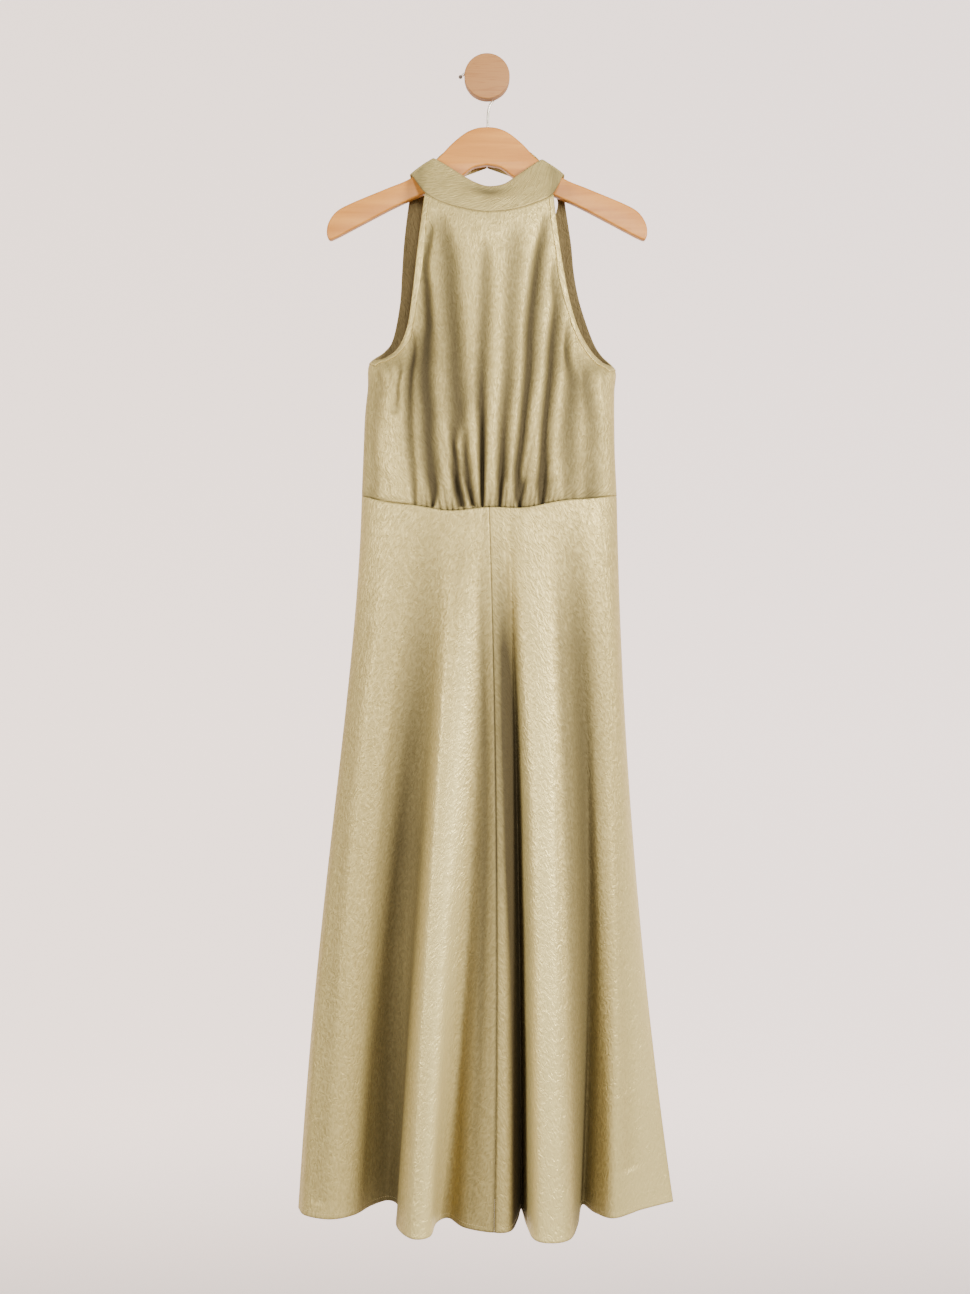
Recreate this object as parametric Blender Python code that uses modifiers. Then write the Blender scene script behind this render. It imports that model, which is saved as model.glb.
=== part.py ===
"""Halter dress, hung flat on a wooden hanger from a wall peg.

Metres, +Z up. The origin is the centre of the peg's flat back, on the wall, which is the plane Y = 0.
The dress faces -Y. Tables are in millimetres, and every depth in them is taken from the hanger's plane,
with minus towards the viewer. Cloth is a wall lofted through rows of points, worked out from the tables.
"""
import math

import bmesh
import bpy
import numpy as np

MM = 0.001

# Driving sizes, in millimetres.
HANGER_Y = -60.0          # the hanger's middle plane, in front of the wall
TABLE_Z = 8.5             # the tables' heights are taken from this far above the peg's middle
CLOTH = 1.2               # wall of one layer of cloth
BINDING = 1.0             # wall of the bound edges
BINDING_WIDTH = 9.0
BINDING_END = 1.6         # a binding stops this far short of the collar
SEAM = 0.3                # gap between pieces that are sewn together
COLLAR_SEAM = 0.55        # the same gap, taken straight down where the collar's edge slopes
SIDE_SEAM = 0.2           # half the gap at the side seams
WAIST_LEFT = -171.9
WAIST_RIGHT = 178.1
WAIST_SIDE_Z = -580.0
WAIST_DIP = 22.0          # how far the front waist seam hangs below the side seams
WAIST_WAVE = 2.2          # the seam lifts a little at the middle
WAIST_WAVE_LENGTH = 104.0
WAIST_TILT = 0.05         # and lies lower on the left
WAIST_FRONT = -54.0
WAIST_BACK = 22.0
WAIST_BACK_DIP = 10.0
WAIST_SQUARE = 2.6        # exponents of the waist's flattened half oval
WAIST_ROUND = 0.55
AT_SIDE_SEAM = 0.999      # share of the half width from which a line is the side seam itself
HEM_Z = -1560.0
SKIRT_MID = 0.63          # share of the skirt's length at which the middle columns are given
HIP_EASE = 9.5            # the left side falls straighter than its line, by this much at a quarter length
HIP_EASE_END = -90.0      # x at the waist where that has run out
HIP_EASE_PEAK = 0.25

GATHERS = 26
GATHER_LEFT = -84.0       # stretch of the waist seam that is gathered
GATHER_RIGHT = 97.0
GATHER_DEPTH = 1.25
GATHER_HEIGHT = 17.0      # height over which the gathers run out into the folds
STEPS_PER_GATHER = 4
FOLD_EDGE = 6.0           # the soft folds run out over this part of the width, one in so many, at each edge

HANGER_THICK = 12.0
WIRE = 3.4
DISC_RADIUS = 31.0
DISC_THICK = 14.0
DOWEL_RADIUS = 11.0
DOWEL_FOOT = 6.5          # its radius at the wall
DOWEL_TAPER = 36.0        # it widens over this length
DISC_EDGE = 2.0
PEG_CLEAR = 4.0           # from the hook to the disc's back
PEG_SIDES = 40

# Front bodice, a row for each station from the waist up. left and right are the edges of the panel:
# x, depth, height. mid is the depth and height of its middle, bow the exponent of the line between,
# square and rounded those of its bulge.
FRONT_COLUMNS = ("xl", "yl", "zl", "xr", "yr", "zr", "ym", "zm", "bow", "square", "rounded")
FRONT_STATIONS = {
    "waist":    (-171.9,  -0.2, -580.0, 178.1,  -0.2, -580.0, -54.0, -600.0, 2.0, 2.6, 0.55),
    "low":      (-169.6,  -0.2, -522.0, 175.4,  -0.2, -522.0, -58.0, -530.0, 2.0, 2.6, 0.55),
    "ribs":     (-167.4,  -0.2, -470.0, 174.6,  -0.2, -470.0, -60.0, -482.0, 3.0, 2.5, 0.58),
    "side":     (-163.5,  -0.2, -432.0, 174.8,  -0.2, -436.0, -61.0, -450.0, 4.0, 2.4, 0.62),
    "underarm": (-161.3,  -0.2, -399.0, 175.9,  -0.2, -408.0, -61.0, -424.0, 5.0, 2.3, 0.68),
    "hollow":   (-140.0,  -5.0, -392.5, 157.0,  -5.0, -398.0, -61.0, -405.0, 5.0, 2.2, 0.80),
    "turn":     (-120.8, -12.0, -379.5, 139.5, -12.0, -381.0, -60.0, -385.0, 5.0, 2.1, 0.92),
    "rise":     (-108.0, -19.0, -352.0, 123.0, -18.0, -352.0, -60.0, -355.0, 4.0, 2.0, 1.00),
    "chest":    (-100.8, -26.0, -310.0, 109.9, -25.0, -310.0, -59.0, -312.0, 3.0, 2.0, 1.00),
    "upper":    (-93.6,  -31.0, -250.0,  98.6, -30.0, -250.0, -58.0, -264.0, 2.5, 2.0, 1.00),
    "neck":     (-87.5,  -33.0, -205.0,  92.0, -33.5, -205.0, -57.0, -228.0, 2.0, 2.0, 0.90),
}
FRONT_DENSE = (0.0, 0.1, 0.2, 0.3, 0.42)
FRONT_COARSE = (0.62, 1.0, 1.5, 2.1, 2.7, 3.3, 4.0, 4.5, 5.0, 5.5, 6.0, 6.5, 7.2, 8.0, 8.8, 9.4, 10.0)
UNDERARM = 4.0            # the station where the side seam ends and the armhole starts
SIDE_STEPS = 8            # columns from each side seam to the gathers

# The soft folds that fan up from the gathers: the valley's x at the waist, the ribs, the armhole's foot
# and the collar, its half width, and its depth low down and at chest height.
BODICE_FOLDS = {
    "left_outer":  (-76.0, -80.0, -86.0, -70.0, 9.0, 7.0, 3.5),
    "left_inner":  (-41.0, -40.0, -46.0, -34.0, 9.0, 6.0, 2.5),
    "middle":      (-5.0, -5.0, -5.0, -4.0, 8.0, 5.5, 2.5),
    "middle_right": (20.0, 23.0, 29.0, 28.0, 7.0, 4.5, 1.5),
    "right_inner": (43.0, 48.0, 56.0, 56.0, 9.0, 9.0, 4.5),
    "right_outer": (77.0, 82.0, 90.0, 80.0, 10.0, 8.0, 4.5),
}
FOLD_HEIGHTS = (215.0, 400.0, 495.0, 600.0)         # below the peg, for neck, armhole, ribs and waist
FOLD_FADE_HEIGHTS = (205.0, 330.0, 480.0, 575.0, 606.0)

# Half of the back bodice, a row for each station: outer edge, then inner edge, which is the centre back
# seam up to the foot of the opening and the opening's edge above it.
BACK_COLUMNS = ("xo", "yo", "zo", "xi", "yi", "zi")
BACK_LEFT = {
    "waist":    (-171.9, 0.2, -580.0,  -0.2, 22.0, -590.0),
    "low":      (-169.6, 0.2, -522.0,  -0.2, 26.0, -528.0),
    "ribs":     (-167.4, 0.2, -470.0,  -0.2, 28.0, -480.0),
    "side":     (-163.5, 0.2, -432.0,  -0.2, 29.0, -448.0),
    "underarm": (-161.3, 0.2, -399.0,  -0.2, 29.0, -424.0),
    "hollow":   (-141.0, 8.0, -380.0,  -0.2, 29.0, -400.0),
    "turn":     (-129.5, 13.5, -360.0, -0.2, 28.0, -374.0),
    "rise":     (-120.8, 20.0, -311.5, -32.0, 27.0, -322.0),
    "chest":    (-118.0, 20.0, -270.0, -56.0, 25.0, -276.0),
    "upper":    (-115.1, 18.0, -229.0, -72.0, 22.5, -235.0),
    "strap":    (-110.8, 14.5, -192.5, -82.0, 17.5, -197.0),
    "neck":     (-106.5, 11.0, -165.0, -86.0, 13.5, -168.0),
}
BACK_RIGHT = {
    "waist":    (178.1, 0.2, -580.0,  0.2, 22.0, -590.0),
    "low":      (175.4, 0.2, -522.0,  0.2, 26.0, -528.0),
    "ribs":     (174.6, 0.2, -470.0,  0.2, 28.0, -480.0),
    "side":     (174.8, 0.2, -436.0,  0.2, 29.0, -448.0),
    "underarm": (175.9, 0.2, -408.0,  0.2, 29.0, -424.0),
    "hollow":   (157.3, 8.0, -385.0,  0.2, 29.0, -400.0),
    "turn":     (145.3, 13.5, -361.6, 0.2, 28.0, -374.0),
    "rise":     (129.2, 20.0, -311.5, 36.0, 27.0, -322.0),
    "chest":    (120.8, 20.0, -270.0, 60.0, 25.0, -276.0),
    "upper":    (116.6, 18.0, -229.0, 77.0, 22.5, -235.0),
    "strap":    (110.8, 14.5, -192.5, 91.0, 17.5, -199.0),
    "neck":     (107.1, 11.0, -170.0, 98.0, 13.0, -172.0),
}
BACK_ROWS = (0.0, 0.6, 1.3, 2.0, 2.7, 3.4, 4.0, 4.5, 5.0, 5.5, 6.0, 6.5, 7.0, 8.0, 9.0, 10.0, 11.0)
BACK_STEPS = 9
BACK_TURN = (3.0, 6.0)    # stations between which the back's bulge goes from the waist's to a plain one
BACK_SQUARE = 2.0
BACK_ROUND = 1.0
BACK_RISE = 5             # exponent of the rise from the centre back to the side
BACK_NARROW = 0.4         # where a binding takes more of the width than this, the steps are even
PROBE = 0.01              # share of the width over which its length is measured

# Collar band, a row for each section round it from the nape: its lower edge, then its upper edge.
COLLAR = {
    "nape_left":    (-0.3, 18.0, -123.0,  -0.3, 16.0, -80.0),
    "back_left":    (-50.0, 16.0, -141.0, -38.0, 14.0, -90.0),
    "strap_left":   (-86.0, 12.5, -149.0, -61.0, 11.0, -105.0),
    "arm_left_in":  (-102.0, 8.6, None,   -71.6, 8.4, None),
    "arm_left":     (-104.8, 0.0, None,   -73.6, 0.0, None),
    "arm_left_out": (-103.0, -8.8, None,  -72.0, -8.4, None),
    "front_left":   (-83.2, -33.0, -172.9, -52.0, -17.0, -133.0),
    "left_slope":   (-53.7, -46.0, -191.5, -33.0, -25.0, -147.6),
    "left_middle":  (-20.0, -53.0, -201.8, -16.0, -30.0, -158.6),
    "middle":       (2.6, -54.0, -204.1,    2.0, -32.0, -164.4),
    "right_middle": (33.4, -52.0, -200.8,  23.0, -29.5, -160.5),
    "right_slope":  (64.4, -44.0, -189.5,  40.0, -23.0, -147.5),
    "front_right":  (88.8, -33.0, -174.0,  57.0, -15.5, -133.5),
    "arm_right_out": (104.0, -8.8, None,  74.0, -8.4, None),
    "arm_right":    (105.6, 0.0, None,     75.4, 0.0, None),
    "arm_right_in": (103.0, 8.6, None,    73.6, 8.4, None),
    "strap_right":  (88.0, 12.5, -149.0,   63.0, 11.0, -106.0),
    "back_right":   (51.0, 16.0, -141.0,   39.0, 14.0, -90.0),
    "nape_right":   (0.3, 18.0, -123.0,     0.3, 16.0, -80.0),
}
COLLAR_STEPS = 3
COLLAR_WALL = 1.8         # the band is two layers and a stiffener
COLLAR_ON_HANGER = 1.25   # height of the band's middle over the arm of the hanger

# Skirt, a row for each line that runs down it: x at the waist, x at mid length, x at the hem, depth at
# mid length, depth at the hem.
SKIRT_FRONT = {
    "side_left":     (-171.9, -232.8, -259.8, -0.2, 4.8),
    "left_turn":     (-163.0, -223.0, -247.0, -19.0, -22.0),
    "left_panel":    (-134.0, -192.0, -212.0, -36.0, -36.0),
    "left_in":       (-104.0, -164.4, -181.1, -26.0, -20.0),
    "left_slope":    (-87.0, -147.0, -161.0, -4.0, 12.0),
    "left_valley":   (-70.0, -126.0, -138.0, 10.0, 32.0),
    "left_corner":   (-58.0, -105.0, -122.0, -6.0, 10.0),
    "fold_left_in":  (-48.0, -95.6, -120.5, -44.0, -56.0),
    "fold_left":     (-36.0, -80.0, -99.4, -72.0, -100.0),
    "fold_left_out": (-21.0, -58.0, -76.0, -72.0, -94.0),
    "left_wall":     (-12.5, -42.0, -68.5, -53.0, -48.0),
    "dip":           (-6.5, -27.0, -52.0, -43.0, -31.0),
    "centre_in":     (-1.5, -10.0, -30.0, -56.0, -64.0),
    "centre":        (2.75, 12.7, 9.1, -66.0, -81.0),
    "centre_out":    (14.0, 27.9, 31.0, -62.0, -75.0),
    "deep_in":       (22.0, 37.7, 41.2, -40.0, -35.0),
    "deep":          (29.5, 44.5, 47.2, -12.0, 3.0),
    "deep_out":      (38.0, 52.0, 53.6, -48.0, -56.0),
    "fold_right_in": (48.0, 63.0, 62.4, -74.0, -104.0),
    "fold_right":    (64.0, 81.0, 84.1, -82.0, -115.0),
    "fold_right_out": (84.0, 103.1, 108.1, -76.0, -102.0),
    "right_wall":    (98.0, 121.8, 121.0, -52.0, -54.0),
    "right_valley":  (114.0, 138.0, 131.5, -14.0, 17.0),
    "right_in":      (128.0, 153.0, 147.5, -29.0, -12.0),
    "right_panel":   (144.0, 172.6, 172.0, -37.0, -32.0),
    "right_out":     (160.0, 193.0, 210.2, -22.0, -3.0),
    "right_turn":    (172.5, 208.0, 243.1, -4.0, 18.0),
    "side_right":    (178.1, 214.2, 259.4, 9.8, 27.8),
}
SKIRT_BACK = {
    "side_left":    (-171.9, -232.8, -259.8, 0.2, 5.2),
    "left_turn":    (-158.0, -218.0, -246.0, 24.0, 34.0),
    "left_fold":    (-124.0, -180.0, -206.0, 33.0, 52.0),
    "left_dip":     (-84.0, -128.0, -150.0, 26.0, 41.0),
    "inner_fold":   (-44.0, -66.0, -82.0, 32.0, 50.0),
    "centre":       (0.0, 0.0, 0.0, 30.0, 36.0),
    "right_inner":  (44.0, 62.0, 76.0, 33.0, 51.0),
    "right_dip":    (86.0, 112.0, 134.0, 27.0, 36.0),
    "right_fold":   (128.0, 160.0, 196.0, 34.0, 53.0),
    "right_turn":   (164.0, 200.0, 246.0, 26.0, 46.0),
    "side_right":   (178.1, 214.2, 259.4, 10.2, 28.2),
}
SKIRT_FRONT_ROWS = (0.0, 0.03, 0.07, 0.12, 0.17, 0.23, 0.29, 0.35, 0.41, 0.47, 0.53, 0.59, 0.65, 0.71,
                    0.77, 0.83, 0.89, 0.95, 1.0)
SKIRT_STEPS = 2
SKIRT_BACK_ROWS = (0.0, 0.06, 0.14, 0.24, 0.34, 0.44, 0.54, 0.64, 0.74, 0.83, 0.92, 1.0)

# Half of the hanger's outline, from the top middle round the arm's tip to the middle of the arch.
HANGER_HALF = {
    "top": (0.0, -73.6),
    "crown": (14.0, -75.2),
    "crown_end": (30.0, -82.0),
    "neck": (49.0, -97.4),
    "neck_foot": (70.0, -118.8),
    "shoulder": (105.5, -144.4),
    "arm": (138.0, -158.2),
    "arm_out": (187.0, -178.6),
    "tip_top": (207.0, -190.0),
    "tip": (217.6, -205.0),
    "tip_side": (220.0, -219.0),
    "tip_foot": (216.7, -228.0),
    "under_tip": (208.0, -226.0),
    "under_out": (183.0, -213.0),
    "under": (128.0, -184.2),
    "under_in": (92.0, -168.0),
    "arch_foot": (50.0, -151.0),
    "arch": (34.0, -141.0),
    "arch_turn": (19.0, -129.6),
    "arch_top": (0.0, -125.6),
}
HANGER_STEPS = 2
HANGER_EDGE = 2.0         # rounding of the hanger's edges

# The hook's line in the hanger's plane, from its tip over the peg and down into the hanger.
HOOK = ((-34.2, -1.8), (-29.4, 1.6), (-21.6, 4.2), (-11.6, 5.4), (-1.0, 4.9), (9.2, 1.6),
        (17.2, -4.4), (21.4, -12.8), (19.8, -22.4), (13.8, -30.2), (6.6, -38.4), (2.6, -47.0),
        (1.2, -58.0), (1.0, -73.2))
HOOK_STEPS = 2
HOOK_BALL = 2.6           # radius of the bead on the hook's tip
BALL_SIDES = 12
BALL_RINGS = 8
WIRE_ROUND = 2            # steps in a quarter of the wire's round, less one
HANGER_ROUND = 1          # the same for the hanger's edges
SHARP_ANGLE = 50.0        # degrees
MERGE = 0.0001            # metres, where the turned profile closes

DRESS_COLOUR = (0.49, 0.40, 0.22, 1.0)
SHADE_COLOUR = (0.40, 0.32, 0.17, 1.0)
HANGER_COLOUR = (0.69, 0.42, 0.25, 1.0)
PEG_COLOUR = (0.72, 0.49, 0.30, 1.0)
STEEL_COLOUR = (0.78, 0.75, 0.68, 1.0)


def clear_scene():
    for thing in list(bpy.data.objects):
        bpy.data.objects.remove(thing, do_unlink=True)


def material(name, colour, roughness, metallic=0.0):
    made = bpy.data.materials.new(name)
    made.use_nodes = True
    shader = made.node_tree.nodes["Principled BSDF"]
    shader.inputs["Base Color"].default_value = colour
    shader.inputs["Roughness"].default_value = roughness
    shader.inputs["Metallic"].default_value = metallic
    return made


def catmull(points, u):
    """The point at u on a smooth curve through the points, which lie at u = 0, 1, 2 and so on."""
    last = len(points) - 1
    i = min(int(math.floor(u)), last - 1)
    f = u - i
    p1 = points[i]
    p2 = points[i + 1]
    p0 = points[i - 1] if i > 0 else 2.0 * p1 - p2
    p3 = points[i + 2] if i + 2 <= last else 2.0 * p2 - p1
    return 0.5 * (2.0 * p1 + (p2 - p0) * f + (2.0 * p0 - 5.0 * p1 + 4.0 * p2 - p3) * f * f
                  + (3.0 * p1 - p0 - 3.0 * p2 + p3) * f ** 3)


def smooth_line(points, steps):
    """The curve through the points with so many steps to each span."""
    count = (len(points) - 1) * steps
    return np.array([catmull(points, k / steps) for k in range(count + 1)])


def through_three(s, start, middle, end):
    """The parabola through start at 0, middle at SKIRT_MID and end at 1."""
    m = SKIRT_MID
    return (start * (s - m) * (s - 1.0) / m
            + middle * s * (s - 1.0) / (m * (m - 1.0))
            + end * s * (s - m) / (1.0 - m))


def hip_ease(s, x_waist):
    """How far a line at the left side hangs in from its own curve, most at a quarter of the length."""
    share = np.interp(x_waist, (WAIST_LEFT, HIP_EASE_END), (1.0, 0.0))
    most = HIP_EASE_PEAK * (1.0 - HIP_EASE_PEAK) ** 3
    return HIP_EASE * share * s * (1.0 - s) ** 3 / most


def across_waist(x):
    """How far x lies from the middle of the waist, 0 there and 1 at the side seams."""
    middle = 0.5 * (WAIST_LEFT + WAIST_RIGHT)
    return min(1.0, abs(x - middle) / (0.5 * (WAIST_RIGHT - WAIST_LEFT)))


def waist_height(x):
    """Height of the front waist seam."""
    wave = WAIST_WAVE * math.cos(2.0 * math.pi * x / WAIST_WAVE_LENGTH)
    return WAIST_SIDE_Z - (WAIST_DIP - wave - WAIST_TILT * x) * (1.0 - across_waist(x) ** 2)


def waist_back_height(x):
    return WAIST_SIDE_Z - WAIST_BACK_DIP * (1.0 - across_waist(x) ** 2)


def waist_depth(x, middle):
    return middle * (1.0 - across_waist(x) ** WAIST_SQUARE) ** WAIST_ROUND


def row_normals(row, first=None, last=None):
    """Level directions out of the cloth along a row, with given ones at its two ends."""
    run = np.gradient(row[:, :2], axis=0)
    out = np.stack([run[:, 1], -run[:, 0]], axis=1)
    out /= np.linalg.norm(out, axis=1)[:, None]
    if first is not None:
        out[0] = first
    if last is not None:
        out[-1] = last
    return out


def shifted(row, out, distance):
    moved = row.copy()
    moved[:, :2] += out * distance
    return moved


def bridge(bm, low, high):
    """Faces between two rows of vertices, where the upper row may have half the lower one's steps."""
    if len(low) == len(high):
        for i in range(len(low) - 1):
            bm.faces.new((low[i], low[i + 1], high[i + 1], high[i]))
        return
    for i in range(len(high) - 1):
        bm.faces.new((low[2 * i], low[2 * i + 1], high[i]))
        bm.faces.new((low[2 * i + 1], high[i + 1], high[i]))
        bm.faces.new((low[2 * i + 1], low[2 * i + 2], high[i + 1]))


def close_end(bm, outer, inner, column):
    for j in range(len(outer) - 1):
        bm.faces.new((outer[j][column], outer[j + 1][column], inner[j + 1][column], inner[j][column]))


def wall(name, rows, normals, thickness, look, collection):
    """A closed wall of cloth lofted through rows, half its thickness to each side of them."""
    bm = bmesh.new()
    sheets = []
    for side in (0.5, -0.5):
        sheet = []
        for row, out in zip(rows, normals):
            points = shifted(row, out, side * thickness)
            points += (0.0, HANGER_Y, TABLE_Z)
            sheet.append([bm.verts.new(point * MM) for point in points])
        for low, high in zip(sheet[:-1], sheet[1:]):
            bridge(bm, low, high)
        sheets.append(sheet)
    outer, inner = sheets
    bridge(bm, outer[0], inner[0])
    bridge(bm, outer[-1], inner[-1])
    close_end(bm, outer, inner, 0)
    close_end(bm, outer, inner, -1)
    bmesh.ops.recalc_face_normals(bm, faces=bm.faces)
    return finish(name, bm, look, collection, smooth=True)


def finish(name, bm, look, collection, smooth=False):
    mesh = bpy.data.meshes.new(name)
    bm.to_mesh(mesh)
    bm.free()
    made = bpy.data.objects.new(name, mesh)
    mesh.materials.append(look)
    collection.objects.link(made)
    if smooth:
        mesh.shade_smooth()
        mesh.set_sharp_from_angle(angle=math.radians(SHARP_ANGLE))
    return made


def binding(name, rows, normals, columns, look, collection):
    """A bound edge on the outside of a panel: the panel's own points, moved out."""
    distance = 0.5 * CLOTH + SEAM + 0.5 * BINDING
    picked = [row[columns] for row in rows]
    directions = [out[columns] for out in normals]
    lifted = [shifted(row, out, distance) for row, out in zip(picked, directions)]
    last_step = lifted[-2] - lifted[-1]
    lifted[-1] += last_step * BINDING_END / np.linalg.norm(last_step, axis=1)[:, None]
    return wall(name, lifted, directions, BINDING, look, collection)


def table_points(table):
    return np.array(list(table.values()), dtype=float)


def collar_sections():
    """The collar's lower and upper edges, with the heights over the hanger's arms filled in."""
    low = []
    high = []
    for xb, yb, zb, xt, yt, zt in COLLAR.values():
        low.append((xb, yb, hanger_top(xb) + COLLAR_ON_HANGER if zb is None else zb))
        high.append((xt, yt, hanger_top(xt) + COLLAR_ON_HANGER if zt is None else zt))
    return np.array(low), np.array(high)


def hanger_outline():
    """The right half of the hanger's outline as a smooth line."""
    return smooth_line(np.array(list(HANGER_HALF.values())), HANGER_STEPS)


def hanger_top(x):
    """Height of the hanger's upper edge at x, on either side."""
    half = hanger_outline()
    upper = half[: int(np.argmax(half[:, 0])) + 1]
    return float(np.interp(abs(x), upper[:, 0], upper[:, 1]))


def collar_join(x, low):
    """Depth and height of the collar's lower edge in front, at x."""
    return np.interp(x, low[:, 0], low[:, 1]), np.interp(x, low[:, 0], low[:, 2])


def collar_front_edge():
    low, _ = collar_sections()
    names = list(COLLAR)
    first = names.index("front_left") * COLLAR_STEPS
    last = names.index("front_right") * COLLAR_STEPS
    return smooth_line(low, COLLAR_STEPS)[first: last + 1]


def front_shares():
    """Shares of the width at which the front bodice has a column, close together in the gathers."""
    width = WAIST_RIGHT - WAIST_LEFT
    start = (GATHER_LEFT - WAIST_LEFT) / width
    end = (GATHER_RIGHT - WAIST_LEFT) / width
    left = np.linspace(0.0, start, SIDE_STEPS + 1)
    middle = np.linspace(start, end, GATHERS * STEPS_PER_GATHER + 1)
    right = np.linspace(end, 1.0, SIDE_STEPS + 1)
    return np.concatenate([left[:-1], middle, right[1:]])


def gather_wave(share, height):
    """Depth of the small gathers at a share of the width and a height over the waist seam."""
    x = WAIST_LEFT + share * (WAIST_RIGHT - WAIST_LEFT)
    if not GATHER_LEFT < x < GATHER_RIGHT:
        return 0.0
    turn = (x - GATHER_LEFT) / (GATHER_RIGHT - GATHER_LEFT) * GATHERS
    fade = math.exp(-(height / GATHER_HEIGHT) ** 2)
    return -GATHER_DEPTH * math.sin(2.0 * math.pi * turn) * fade


def fold_depth(x, z):
    """How far the soft folds of the front bodice lie back at a place on it."""
    depth = 0.0
    for x_waist, x_ribs, x_arm, x_neck, half_width, low, high in BODICE_FOLDS.values():
        line = np.interp(-z, FOLD_HEIGHTS, (x_neck, x_arm, x_ribs, x_waist))
        strength = np.interp(-z, FOLD_FADE_HEIGHTS, (0.0, high, low, low, 0.0))
        depth += strength * math.exp(-((x - line) / half_width) ** 2)
    return depth


def front_row(station, shares):
    """One row of the front bodice, at a station or between two."""
    at = dict(zip(FRONT_COLUMNS, catmull(table_points(FRONT_STATIONS), station)))
    at["yl"] = min(at["yl"], -SIDE_SEAM)
    at["yr"] = min(at["yr"], -SIDE_SEAM)
    drop = at["zm"] - 0.5 * (at["zl"] + at["zr"])
    points = []
    for share in shares:
        a = abs(2.0 * share - 1.0)
        x = at["xl"] + (at["xr"] - at["xl"]) * share
        edge_y = at["yl"] + (at["yr"] - at["yl"]) * share
        edge_z = at["zl"] + (at["zr"] - at["zl"]) * share
        y = edge_y + (at["ym"] - edge_y) * (1.0 - a ** at["square"]) ** at["rounded"]
        z = edge_z + drop * (1.0 - a ** at["bow"])
        if station < 1.0:
            z += (waist_height(x) - edge_z - drop * (1.0 - a ** at["bow"])) * (1.0 - station) ** 2
        height = z - waist_height(x)
        y += fold_depth(x, z) * min(1.0, (1.0 - a) * FOLD_EDGE) + gather_wave(share, height)
        points.append((x, y, z + 0.5 * SEAM if station == 0.0 else z))
    return np.array(points)


def bound_shares(shares, row_of):
    """The shares with the second and the last but one at one binding's width from the edges."""
    ends = row_of(np.array([0.0, PROBE, 1.0 - PROBE, 1.0]))
    steps = shares.copy()
    steps[1] = PROBE * BINDING_WIDTH / np.linalg.norm(ends[1] - ends[0])
    steps[-2] = 1.0 - PROBE * BINDING_WIDTH / np.linalg.norm(ends[3] - ends[2])
    return steps


def front_bodice(look, collection):
    dense = front_shares()
    coarse = dense[::2]
    rows = [front_row(station, dense) for station in FRONT_DENSE]
    for station in FRONT_COARSE:
        steps = bound_shares(coarse, lambda shares, at=station: front_row(at, shares))
        rows.append(front_row(station, steps))
    top_steps = steps
    edge = collar_front_edge()
    x = edge[0, 0] + (edge[-1, 0] - edge[0, 0]) * top_steps
    y, z = collar_join(x, edge)
    rows.append(np.stack([x, y, z - COLLAR_SEAM], axis=1))
    stations = FRONT_DENSE + FRONT_COARSE
    normals = []
    for row, station in zip(rows, stations + (len(FRONT_STATIONS),)):
        sewn = station <= UNDERARM
        normals.append(row_normals(row, (-1.0, 0.0) if sewn else None, (1.0, 0.0) if sewn else None))
    wall("front_bodice", rows, normals, CLOTH, look, collection)
    start = stations.index(UNDERARM)
    for side, columns in (("left", [0, 1]), ("right", [-2, -1])):
        name = "armhole_binding_front_" + side
        binding(name, rows[start:], normals[start:], columns, look, collection)


def back_row(table, station, steps):
    """One row of half of the back, from its inner edge to its outer edge."""
    at = dict(zip(BACK_COLUMNS, catmull(table_points(table), station)))
    side = math.copysign(1.0, at["xo"])
    at["xi"] = side * max(side * at["xi"], SIDE_SEAM)
    at["yo"] = max(at["yo"], SIDE_SEAM)
    rounding = np.interp(station, BACK_TURN, (WAIST_ROUND, BACK_ROUND))
    square = np.interp(station, BACK_TURN, (WAIST_SQUARE, BACK_SQUARE))
    points = []
    for r in steps:
        x = at["xi"] + (at["xo"] - at["xi"]) * r
        y = at["yo"] + (at["yi"] - at["yo"]) * (1.0 - r ** square) ** rounding
        z = at["zi"] + (at["zo"] - at["zi"]) * r ** BACK_RISE
        if station == 0.0:
            z = waist_back_height(x) + 0.5 * SEAM
        points.append((x, y, z))
    return np.array(points)


def strap_end(inner, outer):
    """The end of a back strap, a seam's gap below the collar's edge between two of its sections."""
    low, _ = collar_sections()
    edge = smooth_line(low, COLLAR_STEPS)
    names = list(COLLAR)
    places = np.linspace(names.index(inner), names.index(outer), BACK_STEPS + 1) * COLLAR_STEPS
    end = np.stack([np.interp(places, range(len(edge)), edge[:, k]) for k in range(3)], axis=1)
    end[:, 2] -= COLLAR_SEAM
    return end


def back_bodice(side, table, strap_top, look, collection):
    """Half of the back, with a binding along its armhole and along the opening."""
    rows = []
    for station in BACK_ROWS:
        plain = np.linspace(0.0, 1.0, BACK_STEPS + 1)
        steps = bound_shares(plain, lambda shares, at=station: back_row(table, at, shares))
        narrow = steps[1] > BACK_NARROW
        rows.append(back_row(table, station, plain if narrow else steps))
    rows.append(strap_end(*strap_top))
    left = side == "left"
    if not left:
        rows = [row[::-1] for row in rows]
    centre = (0.0, 1.0)
    seam = (-1.0, 0.0) if left else (1.0, 0.0)
    opening = list(table).index("turn")
    normals = []
    for row, station in zip(rows, BACK_ROWS + (len(table),)):
        at_centre = centre if station <= opening else None
        at_side = seam if station <= UNDERARM else None
        ends = (at_centre, at_side) if left else (at_side, at_centre)
        normals.append(row_normals(row, *ends))
    wall("back_bodice_" + side, rows, normals, CLOTH, look, collection)
    outer_columns, inner_columns = ([-2, -1], [0, 1]) if left else ([0, 1], [-2, -1])
    start = BACK_ROWS.index(UNDERARM)
    binding("armhole_binding_back_" + side, rows[start:], normals[start:], outer_columns, look, collection)
    start = BACK_ROWS.index(float(opening))
    binding("opening_binding_" + side, rows[start:], normals[start:], inner_columns, look, collection)


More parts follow.
